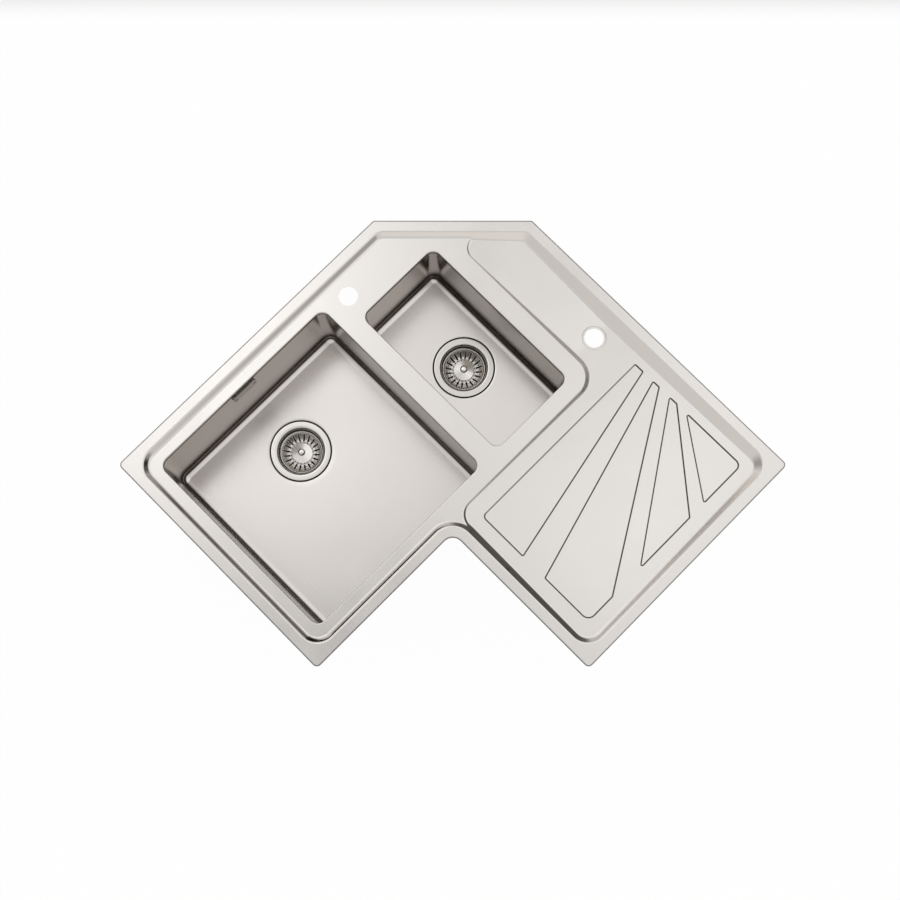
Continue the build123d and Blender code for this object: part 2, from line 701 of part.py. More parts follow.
with BuildPart() as overflow_seal:
    with BuildSketch(overflow_plane(-bowl_sheet)):
        RectangleRounded(cover_length, chamber_height, cover_radius)
        RectangleRounded(
            chamber_length - 2 * chamber_wall, chamber_height - 4 * chamber_wall, cover_radius,
            mode=Mode.SUBTRACT,
        )
        with GridLocations(screw_spacing, 1, 2, 1):
            Circle(screw_radius + loose, mode=Mode.SUBTRACT)
    extrude(amount=-overflow_seal_thick)
overflow_seal.part.label = "overflow_seal"
export_step(overflow_seal.part, "parts/overflow_seal.step")

body_face = -bowl_sheet - overflow_seal_thick
chamber_back = -pipe_from_wall - stub_radius
with BuildPart() as overflow_body:
    with BuildSketch(overflow_plane(body_face)):
        RectangleRounded(cover_length, chamber_height, cover_radius)
    extrude(amount=-chamber_wall)
    with BuildSketch(overflow_plane(body_face)):
        RectangleRounded(chamber_length, chamber_height, cover_radius)
    extrude(amount=chamber_back - body_face)
    with BuildSketch(overflow_plane(body_face)):
        with GridLocations(screw_spacing, 1, 2, 1):
            Circle(boss_radius)
    extrude(amount=-screw_length)
    with Locations(place(pipe_x, main_middle[1], overflow_z - spout_length)):
        Cylinder(stub_radius, spout_length, align=FOOT)
    with BuildSketch(overflow_plane(body_face)):
        RectangleRounded(
            chamber_length - 2 * chamber_wall, chamber_height - 2 * chamber_wall,
            cover_radius - chamber_wall / 2,
        )
    extrude(amount=chamber_back - body_face + chamber_wall, mode=Mode.SUBTRACT)
    with Locations(place(pipe_x, main_middle[1], overflow_z - spout_length)):
        Cylinder(pipe_bore, spout_length, align=FOOT, mode=Mode.SUBTRACT)
        Cylinder(pipe_radius + loose, socket_depth + loose, align=FOOT, mode=Mode.SUBTRACT)
    with Locations(overflow_plane(body_face)):
        with GridLocations(screw_spacing, 1, 2, 1):
            Cylinder(screw_radius, 2 * screw_length - 4, mode=Mode.SUBTRACT)
overflow_body.part.label = "overflow_body"
export_step(overflow_body.part, "parts/overflow_body.step")

pipe_top = overflow_z - spout_length + socket_depth
with BuildPart() as overflow_pipe:
    with BuildLine(upright(0, main_middle[1], 0)) as route:
        FilletPolyline(
            (pipe_x, pipe_top), (pipe_x, inlet_z), (inlet_end + socket_depth, inlet_z),
            radius=pipe_bend,
        )
    with BuildSketch(place(pipe_x, main_middle[1], pipe_top)):
        Circle(pipe_radius)
        Circle(pipe_bore, mode=Mode.SUBTRACT)
    sweep(path=route.wire())
overflow_pipe.part.label = "overflow_pipe"
export_step(overflow_pipe.part, "parts/overflow_pipe.step")

spout_end = Plane(origin=(pipe_x, main_middle[1], overflow_z - spout_length + nut_overlap),
                  z_dir=(0, 0, -1))
inlet_nut = Plane(origin=(inlet_end + nut_overlap, main_middle[1], inlet_z), z_dir=(-1, 0, 0))
with BuildPart() as overflow_nuts:
    for nut_place in (spout_end, inlet_nut):
        with BuildSketch(nut_place):
            RegularPolygon(nut_radius, 12)
            Circle(stub_radius + loose / 3, mode=Mode.SUBTRACT)
        extrude(amount=nut_length)
        with BuildSketch(nut_place.offset(nut_length)):
            RegularPolygon(nut_radius, 12)
            Circle(pipe_radius + loose / 3, mode=Mode.SUBTRACT)
        extrude(amount=-nut_lip)
overflow_nuts.part.label = "overflow_nuts"
export_step(overflow_nuts.part, "parts/overflow_nuts.step")

# ================================================================ clips
# Each clip stands a set distance inside the outline. Its arm rests along the edge, pointing
# the way given in degrees.
beside = -half + clip_inset_bowl
clips = [
    (beside, half_middle[1] - clip_before_half, 90),
    (beside, main_front + clip_behind_front, 270),
    (main_middle[0], beside, 0),
    (arm_right - clip_inset_bowl, main_front + clip_behind_front, 90),
    ((step_x + half) / 2 + clip_past_board, arm_front + clip_inset_board, 0),
    (half - clip_inset_board, arm_front + clip_behind_notch, 90),
    (half - clip_from_right, half - clip_inset_board, 180),
    (half_middle[0] + clip_past_half, half - clip_inset_board, 180),
]
web_foot = -clip_web - bracket_sheet
head_top = -clip_web - clip_screw_length
arm_foot = head_top + 2 * loose
with BuildPart() as clip_brackets:
    for x, y, turn in clips:
        with BuildSketch(turned(x, y, web_foot, turn)):
            Rectangle(bracket_length, bracket_width)
        extrude(amount=deck_under - web_foot)
        with BuildSketch(turned(x, y, -clip_web, turn)):
            Rectangle(bracket_length - 2 * bracket_sheet, 2 * bracket_width)
        extrude(amount=deck_under + clip_web, mode=Mode.SUBTRACT)
        with Locations(place(x, y, web_foot)):
            Cylinder(clip_screw_radius + running, 4 * bracket_sheet, mode=Mode.SUBTRACT)
    add(pan_outside, mode=Mode.SUBTRACT)
clip_brackets.part.label = "clip_brackets"
export_step(clip_brackets.part, "parts/clip_brackets.step")

arm_side = [(0, 0), (arm_reach, 0), (arm_reach, arm_height)]
for k in range(tooth_count):
    edge = arm_reach - k * tooth_pitch
    arm_side += [(edge - 0.7 * tooth_pitch, arm_height - tooth_height)]
    arm_side += [(edge - tooth_pitch, arm_height)]
arm_side += [(arm_reach - tooth_count * tooth_pitch - 3, arm_thick), (0, arm_thick)]
for number, (x, y, turn) in enumerate(clips, 1):
    with BuildPart() as clip_screw:
        with Locations(place(x, y, head_top)):
            Cylinder(clip_screw_radius, clip_screw_length + loose, align=FOOT)
            Cylinder(clip_head_radius, clip_head, align=TOP)
        with Locations(place(x, y, -clip_web + loose)):
            Cylinder(collar_radius, collar, align=FOOT)
        with Locations(place(x, y, web_foot - loose)):
            Cylinder(collar_radius, collar, align=TOP)
        with Locations(place(x, y, head_top - clip_head)):
            Box(3 * clip_head_radius, 1.6, 5, mode=Mode.SUBTRACT)
    clip_screw.part.label = f"clip_screw_{number}"
    export_step(clip_screw.part, f"parts/clip_screw_{number}.step")

    with BuildPart() as clip_arm:
        side_plane = Plane(
            origin=(x, y, arm_foot),
            x_dir=(cos(radians(turn)), sin(radians(turn)), 0),
            z_dir=(sin(radians(turn)), -cos(radians(turn)), 0),
        )
        with BuildSketch(side_plane):
            Polygon(*arm_side, align=None)
        extrude(amount=arm_width / 2, both=True)
        with Locations(place(x, y, arm_foot)):
            Cylinder(arm_hub_radius, arm_height, align=FOOT)
            Cylinder(clip_screw_radius + running, 3 * arm_height, mode=Mode.SUBTRACT)
    clip_arm.part.label = f"clip_arm_{number}"
    export_step(clip_arm.part, f"parts/clip_arm_{number}.step")
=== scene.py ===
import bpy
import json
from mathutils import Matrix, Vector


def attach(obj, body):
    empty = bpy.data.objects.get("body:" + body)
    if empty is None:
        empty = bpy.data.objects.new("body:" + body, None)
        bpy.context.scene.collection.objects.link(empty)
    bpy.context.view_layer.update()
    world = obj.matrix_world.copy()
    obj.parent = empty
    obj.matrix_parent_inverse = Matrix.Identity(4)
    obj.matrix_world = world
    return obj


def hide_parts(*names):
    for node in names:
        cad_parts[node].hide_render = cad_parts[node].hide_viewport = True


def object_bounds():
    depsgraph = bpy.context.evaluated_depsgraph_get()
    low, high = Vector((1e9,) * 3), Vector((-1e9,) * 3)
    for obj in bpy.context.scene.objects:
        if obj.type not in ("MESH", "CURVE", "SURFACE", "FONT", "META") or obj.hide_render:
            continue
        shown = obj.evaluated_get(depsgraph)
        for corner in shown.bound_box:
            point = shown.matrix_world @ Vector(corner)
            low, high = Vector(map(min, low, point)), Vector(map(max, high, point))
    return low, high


bl_info = {
    "name": "Corner kitchen sink",
    "version": (1, 0, 0),
    "blender": (4, 5, 0),
    "location": "3D View > Sidebar > Sink",
    "description": "Dresses the corner kitchen sink: deck, bowls, basket wastes and stage",
    "category": "Object",
}

import json
import math

import bpy
import numpy as np
from bpy.props import FloatProperty, FloatVectorProperty, IntProperty, PointerProperty
from mathutils import Matrix, Vector
from mathutils.geometry import delaunay_2d_cdt

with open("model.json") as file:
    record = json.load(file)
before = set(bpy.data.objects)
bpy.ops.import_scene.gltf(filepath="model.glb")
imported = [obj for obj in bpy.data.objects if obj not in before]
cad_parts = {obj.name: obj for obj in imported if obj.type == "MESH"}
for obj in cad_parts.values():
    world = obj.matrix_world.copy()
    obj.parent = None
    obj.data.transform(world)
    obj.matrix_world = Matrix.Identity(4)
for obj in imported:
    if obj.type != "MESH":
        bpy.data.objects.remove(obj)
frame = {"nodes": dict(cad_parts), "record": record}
MM = 0.001
START = {}
# lengths in millimetres
WHOLE = 1e9                   # a step so long that straight stretches aren't divided
BEND_ANGLE = 42.0             # the deck's slopes, in degrees from upright
FALLS = ((0.015, -0.012), (-0.024, -0.012))  # rise of the board and the ledge to the right and back
RIM_BLEND, STEP_BLEND, FOOT_BLEND = 1.9, 2.0, 2.6  # how softly slopes meet rim, deck and floor
EDGE_ROUNDING = 1.2           # radius of the rim's outer edge
SEAT_DEPTH = 1.6              # the outlet's pressed seat, below the wet area's lowest point
HOLE_RADIUS = 17.5            # the tap's hole and the outlet
NOTCH_RADIUS = 20             # rounding of the L's inner corner
BOWL_CORNER = 17              # upright corners of the bowls' openings
BOWL_SEAT = 58.3              # radius of the seat pressed for a strainer's flange
CUP_BOTTOM = -43.8            # inside height of a strainer's bottom, from its flange
BASKET_SLOPE_TOP = -16.5      # a basket's sloping wall starts at this height
BASKET_RING_INSIDE = 22.2     # and its flat ring ends at this radius


def box_lists(found):
    """The corners of a box as plain lists of numbers."""
    return [[float(v) for v in corner] for corner in found]


START["cad"] = box_lists(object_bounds())


# ---------------------------------------------------------------- settings
def length(name, description, default):
    return FloatProperty(name=name, description=description, default=default * MM, unit="LENGTH")


def colour(name, description, default):
    return FloatVectorProperty(
        name=name, description=description, default=default, subtype="COLOR", size=3, min=0, max=1
    )


class SinkDeckSettings(bpy.types.PropertyGroup):
    side: length("Side", "Length of the sink along each wall", 830)
    arm: length("Arm depth", "Depth of each arm, from wall to front edge", 500)
    cut: length("Cut corner", "Length of the cut corner along each wall", 202)
    rim: length("Rim width", "Flat rim, from its edge to the bend", 20.5)
    rim_top: length("Rim height", "Top of the rim above the worktop", 4)
    sheet: length("Sheet", "Thickness of the steel sheet", 1)
    deck_drop: length("Deck drop", "Bowl deck below the rim", 9)
    outlet_drop: length("Outlet drop", "Wet area below the rim, at its outlet", 19)
    panel_depth: length("Panel depth", "Depth of the pressed wedges of the draining board", 1.5)
    lip: length("Bowl lip", "Rounding of the deck's edge into the bowls", 2)


class SinkBowlSettings(bpy.types.PropertyGroup):
    corner: length("Corner radius", "Upright corners of the bowls, inside", 17)
    foot: length("Floor radius", "Rounding from wall to floor, inside", 14)
    fall: FloatProperty(
        name="Floor fall", description="Rise of the floors away from the waste", default=0.012,
        subtype="FACTOR", min=0, max=0.1,
    )


class SinkWasteSettings(bpy.types.PropertyGroup):
    flange: length("Flange radius", "Outside radius of the strainer's flange", 56.7)
    slots: IntProperty(name="Slots", description="Slots round each basket", default=20, min=4)
    slot_width: length("Slot width", "Width of a basket slot", 2.3)
    slot_hole: length("Slot hole", "Radius of the hole at a slot's inner end", 1.7)
    turn: FloatProperty(
        name="Basket turn", description="How far the baskets are turned about their axis",
        default=math.radians(2.5), subtype="ANGLE", unit="ROTATION",
    )


class SinkFinishSettings(bpy.types.PropertyGroup):
    sheet: colour("Sheet steel", "Satin steel of the deck", (0.74, 0.712, 0.683))
    bowl: colour("Bowl steel", "Satin steel of the bowls' floors", (0.735, 0.70, 0.67))
    # the bowls' walls: a darker tone of the bowl steel, painted shade on their upright faces
    wall: colour("Bowl walls", "Bowl steel in a darker tone, painted shade on the walls", (0.335, 0.30, 0.265))
    bright: colour("Bright steel", "Polished steel of wastes and cover", (0.80, 0.772, 0.742))
    plastic: colour("Waste plastic", "Moulded waste fittings", (0.80, 0.80, 0.77))
    rubber: colour("Rubber", "Seals and plugs", (0.022, 0.022, 0.023))
    pad: colour("Sound pads", "Pads under the bowls", (0.11, 0.11, 0.115))
    nylon: colour("Clip nylon", "Arms of the clips", (0.035, 0.035, 0.038))


class SinkStageSettings(bpy.types.PropertyGroup):
    lens: FloatProperty(name="Lens", description="Camera lens on a 36 mm sensor", default=56.9)
    elevation: FloatProperty(
        name="Elevation", description="Camera's height angle above the rim",
        default=math.radians(81.22), subtype="ANGLE", unit="ROTATION",
    )
    backdrop: colour("Floor", "Colour of the pale floor", (0.93, 0.93, 0.93))


# ---------------------------------------------------------------- outlines
def spread(points, wider):
    """A counter-clockwise polygon with every side moved outwards: each corner moves along the
    sum of its two sides' normals, by wider over one plus the cosine of its turn."""
    points = np.asarray(points, float)
    into = points - np.roll(points, 1, 0)
    into /= np.linalg.norm(into, axis=1, keepdims=True)
    out = np.roll(into, -1, 0)
    normals = np.stack([into[:, 1] + out[:, 1], -into[:, 0] - out[:, 0]], 1)
    return points + normals * (wider / (1 + (into * out).sum(1)))[:, None]


def rounded_path(points, radii, step, closed=True, arc_step=3.0):
    """Points along a polygon whose corners are arcs: each corner's arc starts and ends its
    radius times the tangent of half the turn before and after the corner. Straight stretches
    are divided into steps, and arcs into equal angles."""
    points = np.asarray(points, float)
    count = len(points)
    pieces = []
    for k in range(count):
        corner = points[k]
        if not closed and k in (0, count - 1):
            pieces.append(corner[None])
            continue
        before = points[k - 1] - corner
        after = points[(k + 1) % count] - corner
        before /= np.linalg.norm(before)
        after /= np.linalg.norm(after)
        half = math.acos(np.clip(before @ after, -1, 1)) / 2
        radius = radii[k]
        if radius <= 0 or half > math.radians(89.9):
            pieces.append(corner[None])
            continue
        reach = radius / math.tan(half)
        bisector = before + after
        centre = corner + bisector / np.linalg.norm(bisector) * radius / math.sin(half)
        start = corner + before * reach - centre
        sweep = math.pi - 2 * half
        sweep *= 1 if before[0] * after[1] - before[1] * after[0] < 0 else -1
        turns = np.linspace(0, sweep, max(3, int(abs(math.degrees(sweep)) / arc_step) + 1))
        cos, sin = np.cos(turns)[:, None], np.sin(turns)[:, None]
        pieces.append(centre + cos * start + sin * np.array([-start[1], start[0]]))
    rows = []
    for k, piece in enumerate(pieces):
        rows.append(piece)
        if closed or k < count - 1:
            a, b = piece[-1], pieces[(k + 1) % count][0]
            parts = int(np.linalg.norm(b - a) / step)
            if parts > 1:
                t = np.linspace(0, 1, parts + 1)[1:-1, None]
                rows.append(a + (b - a) * t)
    path = np.concatenate(rows)
    keep = np.linalg.norm(path - np.roll(path, 1, 0), axis=1) > 1e-5
    keep[0] = True
    return path[keep]


def box_corners(box, wider=0.0):
    """The corners of a box, counter-clockwise, with its sides moved out by wider."""
    x0, y0, x1, y1 = box
    return [(x0 - wider, y0 - wider), (x1 + wider, y0 - wider), (x1 + wider, y1 + wider),
            (x0 - wider, y1 + wider)]


def path_normals(path, closed=True):
    """Unit normals to the left of a path, from the difference of each point's neighbours."""
    along = np.roll(path, -1, 0) - np.roll(path, 1, 0)
    if not closed:
        along[0] = path[1] - path[0]
        along[-1] = path[-1] - path[-2]
    along /= np.linalg.norm(along, axis=1, keepdims=True)
    return np.stack([-along[:, 1], along[:, 0]], 1)


def inside_distance(points, path):
    """Distance from each point to a closed path, positive inside: the least distance to any of
    its sides, with the sign from an even or odd count of crossings to the right."""
    found = np.full(len(points), 1e9)
    odd = np.zeros(len(points), bool)
    ends = np.roll(path, -1, 0)
    for a, b in zip(path, ends):
        side = b - a
        t = np.clip(((points - a) @ side) / (side @ side), 0, 1)
        gap = points - a - t[:, None] * side
        found = np.minimum(found, (gap * gap).sum(1))
        if a[1] != b[1]:
            crosses = (a[1] > points[:, 1]) != (b[1] > points[:, 1])
            odd ^= crosses & (points[:, 0] < a[0] + (points[:, 1] - a[1]) / side[1] * side[0])
    return np.where(odd, 1, -1) * np.sqrt(found)


def soft_min(a, b, soft):
    """The lesser of two, rounded where they differ by less than soft: less a quarter of the
    square of what is missing from soft, over soft."""
    return np.minimum(a, b) - np.maximum(soft - np.abs(a - b), 0) ** 2 / (4 * soft)


def soft_max(a, b, soft):
    return -soft_min(-a, -b, soft)


def soft_step(t):
    """Nought below 0, one above 1, and 3tt - 2ttt between."""
    t = np.clip(t, 0, 1)
    return t * t * (3 - 2 * t)


# ---------------------------------------------------------------- meshes
def grid(points, closed_rows=False, closed_columns=False, keep=None):
    """Quads of a grid of points, rows by columns: each joins a point, the next in its row, and
    their neighbours in the next row. Where keep is false the quad is left out."""
    rows, columns = points.shape[:2]
    index = np.arange(rows * columns).reshape(rows, columns)
    a = index if closed_rows else index[:-1]
    b = np.roll(index, -1, 0) if closed_rows else index[1:]
    if not closed_columns:
        a, a2, b, b2 = a[:, :-1], a[:, 1:], b[:, :-1], b[:, 1:]
    else:
        a2, b2 = np.roll(a, -1, 1), np.roll(b, -1, 1)
    quads = np.stack([a, a2, b2, b], -1)
    quads = quads.reshape(-1, 4) if keep is None else quads[keep]
    return points.reshape(-1, 3), quads


def make_piece(name, points, faces, material, body, slot, replaced=(), sharp=35.0, normals=None):
    """A mesh object in the row's frame from points in millimetres, riding on its body."""
    mesh = bpy.data.meshes.new(name)
    mesh.from_pydata((np.asarray(points) * MM).tolist(), [], [list(f) for f in faces])
    mesh.update()
    mesh.polygons.foreach_set("use_smooth", np.ones(len(mesh.polygons), bool))
    if normals is not None:
        mesh.normals_split_custom_set_from_vertices(normals.tolist())
    elif sharp:
        mesh.set_sharp_from_angle(angle=math.radians(sharp))
    mesh.materials.append(material)
    piece = bpy.data.objects.new(name, mesh)
    bpy.context.scene.collection.objects.link(piece)
    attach(piece, body)
    if replaced:
        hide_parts(*replaced)
    return piece


def write_painted_shade(piece, rows, columns, share=1.0):
    """Writes one painted shade value for each row of a grid of points, times a share by column."""
    values = (np.asarray(rows, float)[:, None] * np.broadcast_to(share, (columns,))).ravel()
    piece.data.attributes.new("painted_shade", "FLOAT", "POINT").data.foreach_set("value", values)


def thicken(piece, sheet):
    """Gives a piece's sheet its thickness, with its edges closed."""
    wall = piece.modifiers.new("Sheet", "SOLIDIFY")
    wall.thickness = sheet * MM
    wall.offset = -1.0
    wall.use_even_offset = True


def lathe(profile, turns, centre):
    """A profile of radius and height carried round an upright axis: each point stands at the
    radius times the cosine and sine of the turn."""
    profile = np.asarray(profile, float)
    r, z = profile[:, 0, None], profile[:, 1, None]
    x, y = r * np.cos(turns), r * np.sin(turns)
    points = np.stack([x, y, np.broadcast_to(z, x.shape)], -1)
    return points + np.asarray(centre, float)


def circle_turns(count):
    return np.arange(count) * 2 * math.pi / count


def circle(centre, radius):
    """Points round a circle: the centre, plus the radius times each turn's cosine and sine."""
    turns = circle_turns(72)
    return centre + radius * np.stack([np.cos(turns), np.sin(turns)], 1)


# ---------------------------------------------------------------- the deck's form
class DeckForm:
    """The deck's outlines and its height at any point, all in millimetres."""

    def __init__(self, deck):
        mm = 1 / MM
        self.side = deck.side * mm
        self.half = half = self.side / 2
        self.rim, self.top, self.sheet = deck.rim * mm, deck.rim_top * mm, deck.sheet * mm
        self.drop, self.outlet_drop = deck.deck_drop * mm, deck.outlet_drop * mm
        self.panel_depth, self.lip = deck.panel_depth * mm, deck.lip * mm
        arm, cut = deck.arm * mm, deck.cut * mm
        right, front = -half + arm, half - arm
        self.level = self.top - self.drop
        self.steep = math.tan(math.radians(BEND_ANGLE))
        self.seat = self.top - self.outlet_drop - SEAT_DEPTH
        self.ell = np.array([
            (-half, -half), (right, -half), (right, front), (half, front), (half, half),
            (-half + cut, half), (-half, half - cut),
        ])
        self.ell_radii = [9, 9, NOTCH_RADIUS, 9, 9, 4, 4]
        self.bend = spread(self.ell, -self.rim)
        self.bend_radii = [36, 36, NOTCH_RADIUS + self.rim, 36, 36, 25, 25]
        rise = self.drop * self.steep
        self.main = (-365.0, -365.0, 35.0, 35.0)
        self.small = (-305.0, 75.0, 35.0, 255.0)
        self.outlet = np.array([15.0, 343.4])
        self.tap = np.array([-349.0, 84.0])
        left, step_y, step_x = -270.0 - rise, 290.5 - rise, 65.3 - rise
        low = self.bend[3][1] - 0.3
        self.step = np.array([
            (left, self.side), (left, step_y), (step_x, step_y), (step_x, low),
            (self.side, low), (self.side, self.side),
        ])
        self.step_radii = [0, 27 + rise, 38 - rise, 31 + rise, 0, 0]
        west, east, south, north = 85.0 + self.outlet[0], 359.5, -27.0, 361.0
        self.wedges = [
            ([(west, north), (west, south), (west + 100.5, south), (west + 20.5, north)],
             [3, 9, 3, 3]),
            ([(west + 44, north), (west + 153, south), (east, south), (east, south + 60.5),
              (west + 60, north)], [3, 3, 15, 3, 3]),
            ([(west + 84, north), (east, south + 128), (east, south + 256), (west + 103, north)],
             [3] * 4),
            ([(west + 124, north), (east, south + 290.5), (east, north)], [3, 3, 12]),
        ]
        self.bend_path = rounded_path(self.bend, self.bend_radii, WHOLE)
        self.step_path = rounded_path(self.step, self.step_radii, WHOLE)
        self.wedge_paths = [rounded_path(p, r, WHOLE) for p, r in self.wedges]

    def planes(self, points):
        """Height of the wet area's two floors, which meet in a valley at the outlet."""
        x, y = points[:, 0] - self.outlet[0], points[:, 1] - self.outlet[1]
        base = self.top - self.outlet_drop
        return [base + across * x + back * y for across, back in FALLS]

    def floor(self, points):
        board, ledge = self.planes(points)
        return soft_max(board, ledge, 0.25)

    def painted_shade(self, points, normals):
        """How much painted shade a point takes, as dark lines in the deck's creases. A panel's
        pressed edge counts as 9t(1 - t), at most 1, of a share t that rises across a band a little
        wider than the pressing, and half that where it faces the right, where more light falls on
        it. The slope at the front of the draining board counts 0.8 of painted shade."""
        found = np.zeros(len(points))
        for path in self.wedge_paths:
            near = np.abs(points[:, 0] - path[:, 0].mean()) < 320
            share = soft_step((inside_distance(points[near], path) + 0.95) / 3.2)
            found[near] = np.maximum(found[near], np.minimum(1.0, 9.0 * share * (1 - share)))
        # edges that face the right, where more light falls, keep half their painted shade
        facing = normals[:, 0] / np.maximum(np.hypot(normals[:, 0], normals[:, 1]), 1e-6)
        found *= 1 - 0.5 * soft_step((facing - 0.97) / 0.02)
        # painted shade on the slope at the front of the draining board
        front = soft_step((normals[:, 1] - 0.42) / 0.2) * (points[:, 0] > self.main[2])
        return np.maximum(found, 0.8 * front * (points[:, 1] < 0))

    def wet_height(self, points):
        """Height of the wet area: its floor with the pressed wedges and the outlet's seat, and
        the step's slope carried on above it."""
        floor = self.floor(points)
        for path in self.wedge_paths:
            near = np.abs(points[:, 0] - path[:, 0].mean()) < 320
            depth = np.zeros(len(points))
            if near.any():
                depth[near] = soft_step((inside_distance(points[near], path) + 0.45) / 2.2)
            floor = floor - self.panel_depth * depth
        away = np.linalg.norm(points - self.outlet, axis=1)
        floor = floor + (self.seat - floor) * soft_step((22.3 - away) / 1.5)
        slope = self.top - inside_distance(points, self.step_path) / self.steep
        return soft_max(floor, slope, FOOT_BLEND)

    def height(self, points):
        """Height of the deck: the lesser of the bowl deck and the wet area, then the greater of
        that and the rim's slope, then no more than the rim."""
        low = soft_min(np.full(len(points), self.level), self.wet_height(points), STEP_BLEND)
        slope = self.top - inside_distance(points, self.bend_path) / self.steep
        raised = soft_max(low, slope, FOOT_BLEND)
        return soft_min(np.full(len(points), self.top), raised, RIM_BLEND)

    def normals(self, points, reach=0.03):
        """Upward normals from the differences of the height a little to each side."""
        east = np.array([reach, 0.0])
        north = np.array([0.0, reach])
        dx = (self.height(points + east) - self.height(points - east)) / (2 * reach)
        dy = (self.height(points + north) - self.height(points - north)) / (2 * reach)
        found = np.stack([-dx, -dy, np.ones(len(points))], 1)
        return found / np.linalg.norm(found, axis=1, keepdims=True)

    def opening(self, bowl, wider, step):
        """The outline of a bowl's opening, moved out by wider."""
        radii = [BOWL_CORNER + wider] * 4
        return rounded_path(box_corners(bowl, wider), radii, step, arc_step=5)

    def inset_edge(self, inset):
        """The deck's outline moved in by an inset. Its arcs shrink, and the notch's, which turns
        the other way, grows."""
        radii = [r + inset if r == NOTCH_RADIUS else r - inset for r in self.ell_radii]
        return rounded_path(spread(self.ell, -inset), radii, 8, arc_step=6)

    def bottom_reach(self, path, normals, wet):
        """How far a slope from the rim runs before it meets the floor below it."""
        if not wet:
            return np.full(len(path), self.drop * self.steep)
        found = None
        for gx, gy in FALLS:
            at = (self.top - self.outlet_drop + gx * (path[:, 0] - self.outlet[0])
                  + gy * (path[:, 1] - self.outlet[1]))
            reach = (self.top - at) / (1 / self.steep + gx * normals[:, 0] + gy * normals[:, 1])
            found = reach if found is None else np.minimum(found, reach)
        return found

    def feature_points(self):
        """Rows of points beside every bend, close together across it and far apart along it."""
        rows = []
        top_rows = (-2.3, -1.5, -0.75, 0.0, 0.75, 1.5, 2.3)
        foot_rows = (-3.2, -2.2, -1.3, -0.5, 0.4, 1.3, 2.3, 3.4)

        def keep_true(path, normals, offset, outline):
            points = path + normals * np.broadcast_to(offset, (len(path),))[:, None]
            true = np.abs(inside_distance(points, outline) - offset) < 0.04
            return points[true]

        path = rounded_path(self.bend, self.bend_radii, 6)
        normals = path_normals(path)
        for offset in top_rows + (4.6,):
            rows.append(keep_true(path, normals, offset, self.bend_path))
        for wet in (False, True):
            foot = self.bottom_reach(path, normals, wet)
            for more in foot_rows:
                points = keep_true(path, normals, foot + more, self.bend_path)
                is_wet = self.wet_height(points) < self.level + 0.4
                rows.append(points[is_wet == wet])
        path = rounded_path(self.step, self.step_radii, 5)
        normals = path_normals(path)
        reach = self.drop * self.steep
        near = inside_distance(path, self.bend_path) > -12
        path, normals = path[near], normals[near]
        foot = self.bottom_reach(path, normals, True)
        for offset in [reach + more for more in top_rows] + [foot + more for more in foot_rows]:
            points = keep_true(path, normals, offset, self.step_path)
            slope = self.top - inside_distance(points, self.bend_path) / self.steep
            rows.append(points[slope < self.wet_height(points) + 0.5])
        for (corners, radii), outline in zip(self.wedges, self.wedge_paths):
            path = rounded_path(corners, radii, 6, arc_step=10)
            normals = path_normals(path)
            for offset in (-1.1, -0.45, 0.0, 0.35, 0.7, 1.05, 1.4, 1.75, 2.5):
                rows.append(keep_true(path, normals, offset, outline))
        for radius in (18.6, 19.8, 20.8, 21.2, 21.6, 22.0, 22.3, 23.4):
            rows.append(circle(self.outlet, radius))
        rows.append(circle(self.tap, 19))
        rows.append(self.inset_edge(2.8))
        return rows


def unique_points(rows, apart):
    """The rows' points, without those that fall in a square that an earlier one has taken."""
    points = np.concatenate(rows)
    keys = np.floor(points / apart).astype(np.int64)
    merged = keys[:, 0] * 1000003 + keys[:, 1]
    first = np.unique(merged, return_index=True)[1]
    return points[np.sort(first)]


def deck_loops(form):
    """The deck's edges: its outline inside the rounding, and its four openings."""
    return [
        form.inset_edge(EDGE_ROUNDING),
        form.opening(form.main, form.lip, 8),
        form.opening(form.small, form.lip, 8),
        circle(form.outlet, HOLE_RADIUS),
        circle(form.tap, HOLE_RADIUS),
    ]


def deck_sheet(form):
    """The top of the deck: rows of points beside its bends and a wide grid between, joined by
    triangles that keep to the deck's edges, each point lifted to the deck's height."""
    loops = deck_loops(form)
    fixed = np.concatenate(loops)
    edges, count = [], 0
    for loop in loops:
        index = np.arange(len(loop)) + count
        edges.extend(np.stack([index, np.roll(index, -1)], 1).tolist())
        count += len(loop)

    def free(points, margin):
        good = inside_distance(points, loops[0]) > margin
        for loop in loops[1:]:
            good &= inside_distance(points, loop) < -margin
        return points[good]

    features = unique_points([free(row, 0.35) for row in form.feature_points() if len(row)], 0.3)
    line = np.arange(-form.half + 7, form.half, 16.0)
    wide = np.stack(np.meshgrid(line, line, indexing="ij"), -1).reshape(-1, 2)
    wide = free(wide, 4.0)
    taken = set(map(tuple, np.floor(features / 5).astype(int).tolist()))
    cells = np.floor(wide / 5).astype(int)
    alone = np.ones(len(wide), bool)
    for dx in (-1, 0, 1):
        for dy in (-1, 0, 1):
            near = cells + np.array([dx, dy])
            alone &= np.array([tuple(c) not in taken for c in near.tolist()])
    points = np.concatenate([fixed, features, wide[alone]])
    flat, _, faces = delaunay_2d_cdt(
        [Vector(p) for p in points.tolist()], edges, [], 0, 1e-6
    )[:3]
    flat = np.array([tuple(v) for v in flat])
    faces = np.array([f for f in faces if len(f) == 3])
    middle = flat[faces].mean(1)
    good = inside_distance(middle, loops[0]) > 0
    for loop in loops[1:]:
        good &= inside_distance(middle, loop) < 0
    faces = faces[good]
    a, b, c = (flat[faces[:, k]] for k in range(3))
    turn = (b - a)[:, 0] * (c - a)[:, 1] - (b - a)[:, 1] * (c - a)[:, 0]
    faces[turn < 0] = faces[turn < 0][:, ::-1]
    solid = np.abs(turn) > 1e-7
    return flat, faces[solid], loops


